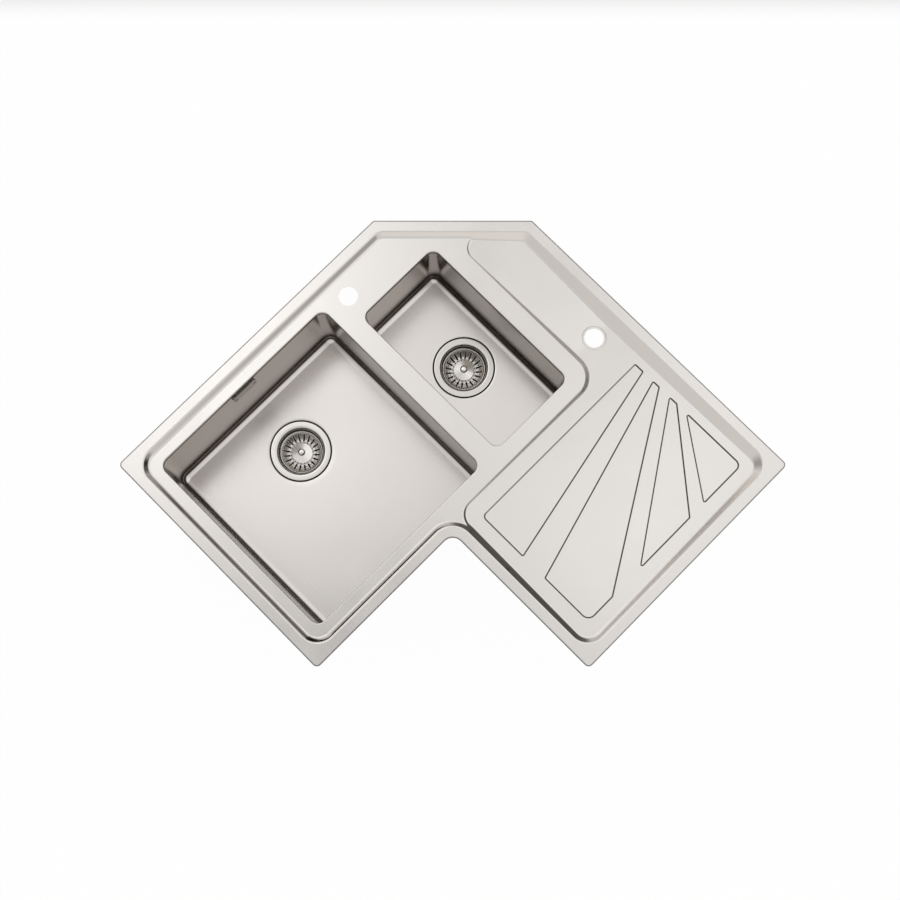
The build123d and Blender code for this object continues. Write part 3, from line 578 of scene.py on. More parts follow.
def edge_strip(path, outward, rows, flip=False):
    """A strip along a closed edge: each row stands off the edge by its first number, and its
    height is its second. Its normals lean outwards by the row's third number, an angle."""
    points, normals = [], []
    for off, z, lean in rows:
        at = path + outward * off
        points.append(np.column_stack([at, np.full(len(at), z)]))
        flat = outward * math.sin(lean)
        normals.append(np.column_stack([flat, np.full(len(at), math.cos(lean))]))
    points, normals = np.array(points), np.array(normals)
    verts, quads = grid(points, closed_columns=True)
    if flip:
        quads = quads[:, ::-1]
    return verts, quads, normals.reshape(-1, 3)


def build_deck(deck):
    """The deck's form, its parts as points, faces and normals, and the painted shade at each point.
    """
    form = DeckForm(deck)
    flat, faces, loops = deck_sheet(form)
    height = form.height(flat)
    normals = form.normals(flat)
    top = np.column_stack([flat, height])
    parts = [(top, faces, normals)]
    # painted shade: a dark line along the rim's outer edge, with the painted shade of the panels'
    # edges and the front slope
    painted_rim_shade = 0.9 * (1 - soft_step(inside_distance(flat, loops[0]) / 1.5))
    painted_shade_values = [np.maximum(form.painted_shade(flat, normals), painted_rim_shade)]
    quarter = np.linspace(0, math.pi / 2, 7)
    # the rounded outer edge, and its turned-down wall
    outward = -path_normals(loops[0])
    rows = [(EDGE_ROUNDING * math.sin(t), form.top - EDGE_ROUNDING * (1 - math.cos(t)), t)
            for t in quarter]
    rows.append((EDGE_ROUNDING, 0.3, math.pi / 2))
    parts.append(edge_strip(loops[0], outward, rows, True))
    # painted shade on the outer rounding and the turned-down wall, a thin dark line round the rim
    painted_shade_values.append(np.repeat(soft_step((np.array([row[2] for row in rows]) + 0.1) / 0.6),
                             len(loops[0])))
    # the lips that turn down into the bowls
    for loop in loops[1:3]:
        inward = path_normals(loop)
        lip = form.lip
        rows = [(lip * math.sin(t), form.level - lip * (1 - math.cos(t)), t) for t in quarter]
        parts.append(edge_strip(loop, inward, rows))
    # plain punched holes, slightly rounded
    for loop, level in ((loops[3], form.seat), (loops[4], form.level)):
        inward = path_normals(loop)
        rows = [(0.0, level, 0.0), (0.0, level - 1e-3, math.pi / 2),
                (0.0, level - form.sheet, math.pi / 2)]
        parts.append(edge_strip(loop, inward, rows))
    return form, parts, np.concatenate(painted_shade_values)


def deck_piece(form, parts, painted_shade_values, material, body):
    """Joins the top with its underside, which is the top moved back along its normals by the
    sheet, and closes the free edges."""
    points, faces, normals, count = [], [], [], 0
    for verts, part_faces, part_normals in parts:
        points.append(verts)
        normals.append(part_normals)
        faces.extend((part_faces + count).tolist())
        count += len(verts)
    for verts, part_faces, part_normals in parts[:4]:
        points.append(verts - part_normals * form.sheet)
        normals.append(-part_normals)
        faces.extend((part_faces[:, ::-1] + count).tolist())
        count += len(verts)
    # the free edge of the turned-down wall, of 8 rows, and of the two lips, of 7
    for (verts, _, part_normals), rows in zip(parts[1:4], (8, 7, 7)):
        columns = len(verts) // rows
        last, lean = verts[-columns:], part_normals[-columns:]
        strip = np.stack([last, last - lean * form.sheet])
        strip_points, quads = grid(strip, closed_columns=True)
        if rows == 8:
            quads = quads[:, ::-1]
        points.append(strip_points)
        normals.append(np.tile([0.0, 0.0, -1.0], (len(strip_points), 1)))
        faces.extend((quads + count).tolist())
        count += len(strip_points)
    skin = make_piece(
        "deck_skin", np.concatenate(points), faces, material, body, "deck", ("deck",),
        normals=np.concatenate(normals),
    )
    values = np.zeros(count)
    values[:len(painted_shade_values)] = painted_shade_values
    write_painted_shade(skin, values, 1)


# ---------------------------------------------------------------- bowls
def cut_slot(points, slot, x0):
    """Which cells of a bowl's grid to keep round a slot in its left wall. A slot is a straight
    run with round ends: its edge is where the distance to its middle line is its radius. The
    grid's points along the edge are moved onto it."""
    y, z, half, radius = slot
    along, up = points[..., 1] - y, points[..., 2] - z
    past = np.sign(along) * np.maximum(np.abs(along) - half, 0)
    away = np.maximum(np.hypot(past, up), 1e-6)
    wall = np.abs(points[..., 0] - x0) < 0.01
    inside = np.where(wall, away - radius, 1e3)
    cells = (inside + np.roll(inside, -1, 1))[:-1] + (inside + np.roll(inside, -1, 1))[1:]
    keep = cells > 0
    rows, columns = points.shape[:2]
    kept, cut = np.zeros((rows, columns), bool), np.zeros((rows, columns), bool)
    for down in (0, 1):
        for over in (0, 1):
            shifted = np.roll(keep, over, 1)
            kept[down:rows - 1 + down] |= shifted
            cut[down:rows - 1 + down] |= ~shifted
    edge = kept & cut
    scale = (radius / away)[edge]
    points[edge, 1] = (y + along - past + past * radius / away)[edge]
    points[edge, 2] = z + up[edge] * scale
    return keep


def bowl_skin(name, box, waste, settings, lip, level, slot, material):
    """A drawn bowl as one grid: columns follow its rounded outline, rows go down the wall,
    round the foot by a quarter circle, and across the floor to the round waste seat, where
    the outline is mixed into a circle. The floor rises with the distance from the waste."""
    x0 = box[0]
    corner, foot, fall = settings.corner / MM, settings.foot / MM, settings.fall
    base = rounded_path(box_corners(box), [corner] * 4, 6, arc_step=5)
    if slot:
        fine = slot[0] - np.linspace(-20, 20, 27)
        near = (np.abs(base[:, 0] - x0) < 0.01) & (np.abs(base[:, 1] - slot[0]) < 22)
        first = np.flatnonzero(near)[0]
        fine = np.column_stack([np.full(len(fine), x0), fine])
        base = np.concatenate([base[:first], fine, base[first:][~near[first:]]])
    inward = path_normals(base)
    centre = np.array(waste[:2])

    def floor_at(points):
        away = np.linalg.norm(points - centre, axis=-1)
        return waste[2] + np.maximum(away - BOWL_SEAT, 0) * fall

    rows = []
    start = level - lip
    low = floor_at(base + inward * foot) + foot
    wall = np.linspace(0, 1, 12)
    above = [start, -18.0]
    if slot:
        above.extend(slot[1] - np.linspace(-10, 10, 15))
    above.append(-52.0)
    bends = np.linspace(0, math.pi / 2, 31)[1:]
    for z in above:
        rows.append(np.column_stack([base, np.full(len(base), z)]))
    for t in wall[1:]:
        rows.append(np.column_stack([base, above[-1] + (low - above[-1]) * t]))
    for t in bends:
        inset = foot * (1 - math.cos(t))
        rows.append(np.column_stack([base + inward * inset, low - foot * math.sin(t)]))
    edge = base + inward * foot
    turn = edge - centre
    unit = turn / np.linalg.norm(turn, axis=1, keepdims=True)
    ring = centre + unit * 61.5
    for t in np.linspace(0, 1, 26)[1:]:
        at = edge + (ring - edge) * t
        rows.append(np.column_stack([at, floor_at(at)]))
    for radius, drop in ((60.0, 0.05), (59.2, 0.25), (58.6, 0.75), (58.35, 1.5),
                         (BOWL_SEAT, 3.0), (56.0, 3.0), (46.5, 3.0)):
        at = centre + unit * radius
        rows.append(np.column_stack([at, np.full(len(at), waste[2] - drop)]))
    points = np.array(rows)
    keep = cut_slot(points, slot, x0) if slot else None
    skin = make_piece(name + "_skin", *grid(points, closed_columns=True, keep=keep), material,
                      "sink", name, (name,), sharp=50)
    # painted shade: the lower walls darker towards the foot, two dark lines round the foot, and the
    # strainer's seat dark
    painted_shade_values = np.zeros(len(points))
    foot_row = len(above) + len(wall) - 1
    painted_shade_values[len(above):foot_row] = 0.35 * soft_step((wall[1:] - 0.45) / 0.55)
    degrees = np.degrees(bends)
    painted_shade_values[foot_row:foot_row + len(bends)] = np.maximum(
        np.exp(-((degrees - 9) / 8) ** 2), 0.8 * np.exp(-((degrees - 38) / 5.5) ** 2)
    )
    painted_shade_values[-7:] = (0.1, 0.7, 1.0, 1.0, 1.0, 1.0, 1.0)
    write_painted_shade(skin, painted_shade_values, points.shape[1])
    # the outline runs counter-clockwise and the rows go inwards, so the faces look up and in
    thicken(skin, 1.0)


# ---------------------------------------------------------------- wastes and baskets
def sector_grid(profile, count, half_width, turn, between):
    """A profile carried round an axis in equal sectors, whose first two columns stand half a
    slot's width to each side of the sector's middle, so that they follow the slot's edges."""
    profile = np.asarray(profile, float)
    radius = profile[:, 0]
    half = np.arcsin(np.clip(half_width / np.maximum(radius, 1e-6), -1, 1))
    pitch = 2 * math.pi / count
    shares = np.linspace(0, 1, between + 2)[:-1]
    columns = []
    for k in range(count):
        middle = turn + k * pitch
        columns.append(middle - half)
        for share in shares:
            columns.append(middle + half + (pitch - 2 * half) * share)
    angles = np.stack(columns, 1)
    x, y = radius[:, None] * np.cos(angles), radius[:, None] * np.sin(angles)
    return np.stack([x, y, np.broadcast_to(profile[:, 1:2], x.shape)], -1), between + 2


def offset_profile(profile, amount):
    """An open profile moved to its left by an amount, along its normals."""
    profile = np.asarray(profile, float)
    return profile + path_normals(profile, closed=False) * amount


def build_basket(name, centre, waste, material, body):
    """The pressed basket: a rolled rim, a sloping wall with slots that end in round holes, a
    flat ring and a dome with a hole for the stem."""
    wall = rounded_path(
        [(38.45, -14.7), (37.0, -17.5), (27.0, -28.5), (22.0, -28.5)], [0, 2.5, 2.0, 0], 0.9,
        closed=False, arc_step=12,
    )
    dome = rounded_path([(22.0, -28.5), (19.4, -26.0), (3.1, -22.2)], [0, 3.0, 0], 1.2,
                        closed=False, arc_step=5)[1:]
    lower = np.concatenate([wall, dome])
    upper = offset_profile(lower, -0.9)
    bead_turn = np.radians(np.linspace(-70, 195, 16))
    bead = np.column_stack([39.6 + 1.2 * np.cos(bead_turn), -14.3 + 1.2 * np.sin(bead_turn)])
    profile = np.concatenate([bead, upper[1:]])
    hole, width = waste.slot_hole / MM, waste.slot_width / MM / 2
    inner, outer = 25.0, 35.5
    extra = np.concatenate([np.linspace(inner - hole, inner + hole, 11),
                            np.linspace(outer - width, outer, 6)])
    down = down_mask(profile)
    first, last = np.flatnonzero(down)[0], np.flatnonzero(down)[-1]
    span = profile[first:last + 1]
    order = np.argsort(span[:, 0])
    wanted = np.unique(np.concatenate([span[:, 0], extra]))[::-1]
    wanted = wanted[np.concatenate([[True], np.abs(np.diff(wanted)) > 0.03])]
    refined = np.column_stack([wanted, np.interp(wanted, span[order, 0], span[order, 1])])
    profile = np.concatenate([profile[:first], refined, profile[last + 1:]])
    radius = profile[:, 0]
    half = np.full(len(radius), 0.22)
    in_hole = np.abs(radius - inner) < hole
    half[in_hole] = np.maximum(half[in_hole], np.sqrt(hole ** 2 - (radius[in_hole] - inner) ** 2))
    shaft = (radius > inner) & (radius <= outer - width)
    half[shaft] = np.maximum(half[shaft], width)
    end = (radius > outer - width) & (radius < outer)
    half[end] = np.maximum(half[end], np.sqrt(width ** 2 - (radius[end] - outer + width) ** 2))
    half = np.where(down_mask(profile), half, 0.22)
    points, columns = sector_grid(profile, waste.slots, half, waste.turn, 6)
    points = points + np.asarray(centre)
    middle = (radius[:-1] + radius[1:]) / 2
    open_rows = (middle > inner - hole) & (middle < outer) & down_mask(profile)[:-1]
    slot_columns = np.arange(points.shape[1]) % columns == 0
    keep = ~(open_rows[:, None] & slot_columns)
    piece = make_piece(name + "_skin", *grid(points, closed_columns=True, keep=keep), material,
                       body, "basket", (name,), sharp=60)
    # painted shade on the pressed basket: most in the fold beside the rim, then on the flat ring, a
    # little on the rim's bead and the sloping wall; the dome is left bright
    painted_shade_values = 0.3 * soft_step((radius - 19.5) / 3.0) - 0.25 * soft_step((radius - 27.0) / 3.0)
    painted_shade_values += 0.6 * np.exp(-((radius - 37.6) / 0.8) ** 2)
    painted_shade_values[:12] = 0.1
    write_painted_shade(piece, np.minimum(painted_shade_values, 1.0), points.shape[1])
    thicken(piece, 0.9)


def down_mask(profile):
    """Where a basket's profile is on its sloping wall or flat ring."""
    return (profile[:, 1] < BASKET_SLOPE_TOP) & (profile[:, 0] > BASKET_RING_INSIDE)


def build_cup(name, centre, flange, material):
    """The strainer's cup, turned: a flat flange, a rounded mouth, a shoulder for the basket, and
    a bottom whose opening is crossed by four spokes."""
    profile = rounded_path(
        [(3.3, CUP_BOTTOM), (38.5, CUP_BOTTOM), (38.5, -16.6), (42.5, -15.0), (42.5, -3.2),
         (45.8, 0.0), (flange, 0.0), (flange, -1.15)],
        [0, 3.0, 0.8, 0.8, 3.0, 4.0, 0.55, 0], 2.0, closed=False, arc_step=10,
    )[::-1]
    bottom = [(r, CUP_BOTTOM) for r in (17.5, 13, 8.5, 5.5, 3.3)]
    wanted = np.concatenate([profile[profile[:, 0] > 18.2], bottom])
    half = np.where(wanted[:, 0] > 6, 2.5, 1.2)
    points, columns = sector_grid(wanted, 4, half, 0.0, 26)
    points = points + np.asarray(centre)
    middle = (wanted[:-1, 0] + wanted[1:, 0]) / 2
    open_rows = (middle > 8.5) & (middle < 17.5)
    open_columns = np.arange(points.shape[1]) % columns != 0
    keep = ~(open_rows[:, None] & open_columns)
    piece = make_piece(name + "_skin", *grid(points, closed_columns=True, keep=keep), material,
                       "sink", "waste_cup", (name,), sharp=50)
    # the cup is a little darker throughout, with painted shade inside below its mouth, darkest
    # under the basket
    height = wanted[:, 1]
    painted_shade_values = 0.14 + 0.66 * soft_step((-2.4 - height) / 2.0)
    painted_shade_values += 0.2 * soft_step((-15.5 - height) / 3.0)
    write_painted_shade(piece, painted_shade_values, points.shape[1])
    thicken(piece, 1.0)


def build_stem(name, centre, material, body):
    """The plug's stem and knob, turned: a foot on the seal, a thin stem, and a knob with a
    waisted neck and a gently domed top."""
    profile = rounded_path(
        [(0.01, -38.0), (9.4, -38.0), (9.4, -36.8), (3.0, -36.8), (3.0, -20.78), (5.0, -20.78),
         (5.2, -18.5), (7.0, -16.2), (7.0, -12.6), (0.01, -11.79)],
        [0, 0.3, 0.3, 0.6, 0.2, 0.6, 2.0, 1.2, 2.2, 0], 1.5, closed=False, arc_step=12,
    )
    points = lathe(profile, circle_turns(64), centre)
    piece = make_piece(name + "_skin", *grid(points, closed_columns=True), material, body,
                       "plug_stem", (name,), sharp=50)
    # the knob's side and neck take painted shade, most of all to the left and right, and the middle
    # of its top is left bright
    ring = soft_step((profile[:, 0] - 3.4) / 1.4) * (profile[:, 1] > -36)
    write_painted_shade(piece, ring, points.shape[1], 0.45 + 0.55 * np.cos(circle_turns(64)) ** 2)


# ---------------------------------------------------------------- shader node groups
def new_group(name, inputs, outputs):
    """An empty node group with named sockets, and its input and output nodes."""
    group = bpy.data.node_groups.new(name, "ShaderNodeTree")
    for label, kind, value in inputs:
        socket = group.interface.new_socket(label, in_out="INPUT", socket_type=kind)
        if value is not None:
            socket.default_value = value
    for label, kind in outputs:
        group.interface.new_socket(label, in_out="OUTPUT", socket_type=kind)
    return group, group.nodes.new("NodeGroupInput"), group.nodes.new("NodeGroupOutput")


def add_node(tree, kind, settings=None, **inputs):
    """A node with its settings, its inputs given as values or as sockets to link from. An input
    is called by its label, or by i and its number."""
    node = tree.nodes.new(kind)
    for key, value in (settings or {}).items():
        setattr(node, key, value)
    for key, value in inputs.items():
        socket = node.inputs[int(key[1:]) if key[1:].isdigit() else key.replace("_", " ")]
        if isinstance(value, bpy.types.NodeSocket):
            tree.links.new(value, socket)
        else:
            socket.default_value = value
    return node


def maths(tree, operation, *values, clamp=False):
    """What a maths node makes of numbers and sockets."""
    inputs = {f"i{k}": value for k, value in enumerate(values)}
    settings = {"operation": operation, "use_clamp": clamp}
    return add_node(tree, "ShaderNodeMath", settings, **inputs).outputs[0]


def ranged(tree, value, *limits, smooth=False):
    """A value carried from one range, low and high, to another, low and high."""
    settings = {"interpolation_type": "SMOOTHSTEP"} if smooth else None
    inputs = {f"i{k}": limit for k, limit in enumerate(limits, 1)}
    return add_node(tree, "ShaderNodeMapRange", settings, i0=value, **inputs).outputs[0]


def scaled(tree, colour, share):
    return add_node(tree, "ShaderNodeVectorMath", {"operation": "SCALE"}, i0=colour,
                    i3=share).outputs[0]


def mixed(tree, share, first, second):
    return add_node(tree, "ShaderNodeMix", {"data_type": "RGBA"}, i0=share, i6=first,
                    i7=second).outputs[2]


def noise(tree, place, scale, detail, roughness=0.5):
    return add_node(tree, "ShaderNodeTexNoise", Vector=place, Scale=scale, Detail=detail,
                    Roughness=roughness).outputs[0]


def object_place(tree):
    return add_node(tree, "ShaderNodeTexCoord").outputs["Object"]


def axes(tree, vector):
    return add_node(tree, "ShaderNodeSeparateXYZ", i0=vector).outputs


def give(tree, node, **values):
    """Links sockets to a node's inputs by label."""
    for label, value in values.items():
        tree.links.new(value, node.inputs[label.replace("_", " ")])


LOOK_OUTPUTS = [("Colour", "NodeSocketColor"), ("Roughness", "NodeSocketFloat"),
                ("Height", "NodeSocketFloat")]


def satin_group():
    """Satin sheet steel: a fine rolled grain, a broad cloudiness and faint hairline marks."""
    group, inside, outside = new_group(
        "Satin steel",
        [("Colour", "NodeSocketColor", (0.7, 0.7, 0.7, 1)), ("Roughness", "NodeSocketFloat", 0.3),
         ("Grain", "NodeSocketFloat", 0.5)],
        LOOK_OUTPUTS,
    )
    place = object_place(group)
    along = add_node(group, "ShaderNodeMapping", Vector=place, Scale=(40.0, 900.0, 40.0))
    lines = noise(group, along.outputs[0], 1.6, 3.0, 0.55)
    cloud = noise(group, place, 9.0, 3.0)
    both = maths(group, "ADD", lines, noise(group, place, 1400.0, 1.0))
    varied = maths(group, "ADD", ranged(group, both, 0.6, 1.4, -0.035, 0.035),
                   ranged(group, cloud, 0.3, 0.7, -0.02, 0.02))
    shade = ranged(group, cloud, 0.25, 0.75, 0.985, 1.015)
    give(group, outside, Colour=scaled(group, inside.outputs["Colour"], shade),
         Roughness=maths(group, "ADD", varied, inside.outputs["Roughness"]),
         Height=maths(group, "MULTIPLY", both, inside.outputs["Grain"]))
    return group


def moulded_group():
    """Moulded plastic or rubber: a fine skin, faint mottling and a little dust in its tone."""
    group, inside, outside = new_group(
        "Moulded skin",
        [("Colour", "NodeSocketColor", (0.5, 0.5, 0.5, 1)), ("Roughness", "NodeSocketFloat", 0.5),
         ("Grain size", "NodeSocketFloat", 700.0), ("Mottle", "NodeSocketFloat", 0.04)],
        LOOK_OUTPUTS,
    )
    place = object_place(group)
    centred = maths(group, "SUBTRACT", noise(group, place, 35.0, 4.0), 0.5)
    mottle = maths(group, "MULTIPLY", centred, inside.outputs["Mottle"])
    shade = maths(group, "MULTIPLY_ADD", mottle, 4.0, 1.0)
    give(group, outside, Colour=scaled(group, inside.outputs["Colour"], shade),
         Roughness=maths(group, "MULTIPLY_ADD", mottle, 3.0, inside.outputs["Roughness"]),
         Height=noise(group, place, inside.outputs["Grain size"], 2.0))
    return group


def groove_group():
    """Level grooves across an upright plate: a mask of lines at even heights about the plate's
    middle, ended at a half length to each side."""
    group, inside, outside = new_group(
        "Plate grooves",
        [("Middle", "NodeSocketVector", (0.0, 0.0, 0.0)), ("Pitch", "NodeSocketFloat", 0.006),
         ("Width", "NodeSocketFloat", 0.0016), ("Half length", "NodeSocketFloat", 0.014),
         ("Half height", "NodeSocketFloat", 0.009)],
        [("Mask", "NodeSocketFloat")],
    )
    local = add_node(group, "ShaderNodeVectorMath", {"operation": "SUBTRACT"},
                     i0=object_place(group), i1=inside.outputs["Middle"])
    split = axes(group, local.outputs[0])
    wave = maths(group, "PINGPONG", split[2], inside.outputs["Pitch"])
    mask = maths(group, "LESS_THAN", wave, inside.outputs["Width"])
    for part, limit in ((1, "Half length"), (2, "Half height")):
        size = maths(group, "ABSOLUTE", split[part])
        within = maths(group, "LESS_THAN", size, inside.outputs[limit])
        mask = maths(group, "MULTIPLY", mask, within)
    give(group, outside, Mask=mask)
    return group


def empty_material(name):
    """A new material without nodes, and its tree."""
    material = bpy.data.materials.new(name)
    material.use_nodes = True
    material.node_tree.nodes.clear()
    return material, material.node_tree


def skin_relief(tree, look, strength, depth):
    return add_node(tree, "ShaderNodeBump", Height=look.outputs["Height"], Strength=strength,
                    Distance=depth).outputs[0]


def steel_material(name, tone, roughness, grain, bump, wall=None, painted_shade=0.0, steep=(0.45, 0.95)):
    """Bare steel: metal throughout, its colour, roughness and grain from the satin group. Where
    a wall's tone and roughness are given, faces as upright as steep says take them; a darker
    wall tone there is painted shade. Painted shade, read from the mesh, darkens the colour by
    the given share."""
    material, tree = empty_material(name)
    group = bpy.data.node_groups.get("Satin steel") or satin_group()
    look = add_node(tree, "ShaderNodeGroup", {"node_tree": group}, Colour=(*tone, 1),
                    Roughness=roughness, Grain=grain)
    if wall:
        facing = add_node(tree, "ShaderNodeNewGeometry").outputs["Normal"]
        level = ranged(tree, axes(tree, facing)[2], *steep, 0.0, 1.0, smooth=True)
        give(tree, look, Colour=mixed(tree, level, (*wall[0], 1), (*tone, 1)),
             Roughness=ranged(tree, level, 0.0, 1.0, wall[1], roughness))
    shader = add_node(tree, "ShaderNodeBsdfPrincipled", Metallic=1.0,
                      Roughness=look.outputs["Roughness"],
                      Normal=skin_relief(tree, look, bump, 0.0001))
    shown = look.outputs["Colour"]
    # painted shade: the value read from the mesh darkens the colour
    if painted_shade:
        mark = add_node(tree, "ShaderNodeAttribute", {"attribute_name": "painted_shade"})
        kept = maths(tree, "MULTIPLY_ADD", mark.outputs["Fac"], -painted_shade, 1.0)
        shown = scaled(tree, shown, kept)
    give(tree, shader, Base_Color=shown)
    add_node(tree, "ShaderNodeOutputMaterial", i0=shader.outputs[0])
    return material


def paint_groove_shade(material, middle, groove_shade):
    """Paints shade into a plate's steel: its colour darkened in level grooves."""
    tree = material.node_tree
    grooves = add_node(tree, "ShaderNodeGroup", {"node_tree": groove_group()}, Middle=middle)
    shader = tree.nodes["Principled BSDF"]
    base = shader.inputs["Base Color"].links[0].from_socket
    kept = maths(tree, "MULTIPLY_ADD", grooves.outputs["Mask"], -groove_shade, 1.0)
    give(tree, shader, Base_Color=scaled(tree, base, kept))


def moulded_material(name, tone, roughness, grain_size, mottle, bump):
    """Plastic or rubber with the moulded skin."""
    material, tree = empty_material(name)
    group = bpy.data.node_groups.get("Moulded skin") or moulded_group()
    look = add_node(tree, "ShaderNodeGroup", {"node_tree": group}, Colour=(*tone, 1),
                    Roughness=roughness, Grain_size=grain_size, Mottle=mottle)
    shader = add_node(tree, "ShaderNodeBsdfPrincipled", Roughness=look.outputs["Roughness"],
                      Normal=skin_relief(tree, look, bump, 0.0002))
    give(tree, shader, Base_Color=look.outputs["Colour"])
    add_node(tree, "ShaderNodeOutputMaterial", i0=shader.outputs[0])
    return material


def finishes():
    """Every material, by the name of its use, made once."""
    if "made" in START:
        return START["made"]
    tones = bpy.context.scene.sink_finish
    made = {
        "deck": steel_material("Satin deck steel", tones.sheet, 0.24, 0.3, 0.08,
                               (tones.sheet, 0.11), painted_shade=0.93, steep=(0.8, 0.995)),
        # the bowls' upright faces take the darker wall tone: painted shade
        "bowl": steel_material("Satin bowl steel", tones.bowl, 0.24, 0.2, 0.06,
                               (tones.wall, 0.22), painted_shade=0.97),
        "bright": steel_material("Bright pressed steel", tones.bright, 0.2, 0.2, 0.05,
                                 painted_shade=0.93),
        # the basket's steel is a lighter copy of the bright steel: painted light that brightens its
        # dome
        "basket": steel_material("Pressed basket steel", (0.88, 0.85, 0.81), 0.25, 0.2, 0.05,
                                 painted_shade=0.93),
        # the overflow cover takes the walls' darker tone: painted shade
        "cover": steel_material("Cover steel", tones.wall, 0.30, 0.3, 0.08, painted_shade=0.8),
        "screw": steel_material("Bright screw steel", (0.55, 0.55, 0.55), 0.26, 0.3, 0.1),
        # the overflow's screws are near-black: painted shade in their countersunk heads
        "dark": steel_material("Screw steel in painted shade", (0.06, 0.055, 0.05), 0.4, 0.3, 0.1),
        "bracket": steel_material("Bracket strip steel", (0.58, 0.58, 0.57), 0.34, 0.5, 0.15),
        "plastic": moulded_material("Waste plastic", tones.plastic, 0.42, 420.0, 0.03, 0.12),
        "rubber": moulded_material("Seal rubber", tones.rubber, 0.62, 900.0, 0.12, 0.2),
        "pad": moulded_material("Sound pad rubber", tones.pad, 0.82, 260.0, 0.15, 0.55),
        "foam": moulded_material("Gasket foam", (0.12, 0.12, 0.125), 0.9, 1500.0, 0.2, 0.8),
        "nylon": moulded_material("Clip nylon", tones.nylon, 0.5, 600.0, 0.08, 0.2),
    }
    # painted shade in the overflow cover's grooves
    paint_groove_shade(made["cover"], (0, -0.165, -0.033), 0.45)
    START["made"] = made
    return made


# ---------------------------------------------------------------- operators
# the studio's brightness near the horizon: degrees from the sink's right, brightness
STUDIO_ABOVE = [
    (-180, 0.95), (-135, 0.42), (-90, 0.80), (-45, 0.92), (-8, 0.80), (14, 0.40), (45, 0.03),
    (70, 0.12), (92, 0.38), (125, 0.60), (155, 0.85), (180, 0.95),
]
STUDIO_BELOW = [
    (-180, 0.30), (-135, 0.30), (-90, 0.75), (-45, 0.92), (-8, 0.70), (14, 0.30), (45, 0.02),
    (70, 0.10), (92, 0.30), (125, 0.35), (155, 0.35), (180, 0.30),
]
# soft lights and screens overhead: direction east and north, reach, brightness added
SOFTBOXES = [
    (0.0, 0.17, 0.22, 0.50), (-0.31, 0.02, 0.27, 1.15), (-0.02, 0.02, 0.15, -0.60),
    (-0.15, -0.09, 0.20, -0.48), (-0.17, 0.15, 0.17, -0.50), (-0.13, 0.27, 0.14, -0.40),
    (0.11, 0.19, 0.13, -0.50),
]
# the overflow's slot: its middle, half its straight run, and its radius
OVERFLOW_SLOT = (-165.0, -33.0, 9.0, 6.0)
MAIN_WASTE = (-243.0, -165.0, -197.0)
SMALL_WASTE = (-135.0, 165.0, -175.0)


class SINK_OT_deck(bpy.types.Operator):
    """Make the pressed deck with its rim, step, draining board, lips and holes"""

    bl_idname = "sink.deck"
    bl_label = "Pressed deck"

    def execute(self, context):
        form, parts, painted_shade_values = build_deck(context.scene.sink_deck)
        deck_piece(form, parts, painted_shade_values, finishes()["deck"], "sink")
        return {"FINISHED"}


class SINK_OT_bowls(bpy.types.Operator):
    """Make the main bowl and the small bowl"""

    bl_idname = "sink.bowls"
    bl_label = "Bowls"

    def execute(self, context):
        form = DeckForm(context.scene.sink_deck)
        settings = context.scene.sink_bowls
        steel = finishes()["bowl"]
        for name, box, waste, slot in (("main_bowl", form.main, MAIN_WASTE, OVERFLOW_SLOT),
                                       ("half_bowl", form.small, SMALL_WASTE, None)):
            bowl_skin(name, box, waste, settings, form.lip, form.level, slot, steel)
        return {"FINISHED"}


class SINK_OT_wastes(bpy.types.Operator):
    """Make the strainer cups, the slotted baskets and the plugs' stems"""

    bl_idname = "sink.wastes"
    bl_label = "Basket wastes"

    def execute(self, context):
        waste = context.scene.sink_waste
        bright, basket = finishes()["bright"], finishes()["basket"]
        for bowl, centre in (("main", MAIN_WASTE), ("half", SMALL_WASTE)):
            build_cup(f"{bowl}_waste_cup", centre, waste.flange / MM, bright)
            build_basket(f"{bowl}_basket", centre, waste, basket, f"{bowl}_basket_body")
            build_stem(f"{bowl}_plug_stem", centre, bright, f"{bowl}_plug")
        return {"FINISHED"}


class SINK_OT_carried(bpy.types.Operator):
    """Give every carried-over piece its finish"""

    bl_idname = "sink.carried"
    bl_label = "Carried-over finishes"

    def execute(self, context):
        uses = {
            "deck": "deck", "main_bowl": "bowl", "half_bowl": "bowl", "waste_cup": "bright",
            "basket": "bright", "plug_stem": "bright", "rubber": "rubber", "pad": "pad",
            "foam": "foam", "waste_plastic": "plastic", "cover": "cover", "screw_steel": "screw",
            "bracket_steel": "bracket", "arm_plastic": "nylon",
        }
        slots = {part["node"]: part["material_slot"] for part in frame["record"]["subparts"]}
        for node, piece in frame["nodes"].items():
            material = finishes()["dark" if node == "overflow_screws" else uses[slots[node]]]
            if not piece.data.materials:
                piece.data.materials.append(material)
            for slot in piece.material_slots:
                slot.material = material
        return {"FINISHED"}


def studio_group():
    """The studio's brightness near the horizon, by compass direction from the sink: pale in
    front and to the sides, dark behind the draining board where the studio is open."""
    group, inside, outside = new_group(
        "Studio by direction", [("Vector", "NodeSocketVector", None)],
        [("Above", "NodeSocketColor"), ("Below", "NodeSocketColor")],
    )
    split = axes(group, inside.outputs["Vector"])
    turn = maths(group, "ARCTAN2", split[1], split[0])
    share = ranged(group, turn, -math.pi, math.pi, 0.0, 1.0)
    for side, stops in (("Above", STUDIO_ABOVE), ("Below", STUDIO_BELOW)):
        ramp = add_node(group, "ShaderNodeValToRGB", i0=share)
        ramp.color_ramp.interpolation = "EASE"
        while len(ramp.color_ramp.elements) < len(stops):
            ramp.color_ramp.elements.new(0.5)
        for element, (degrees, value) in zip(ramp.color_ramp.elements, stops):
            element.position = (degrees + 180) / 360
            element.color = (value, value * 0.97, value * 0.94, 1)
        group.links.new(ramp.outputs[0], outside.inputs[side])
    return group


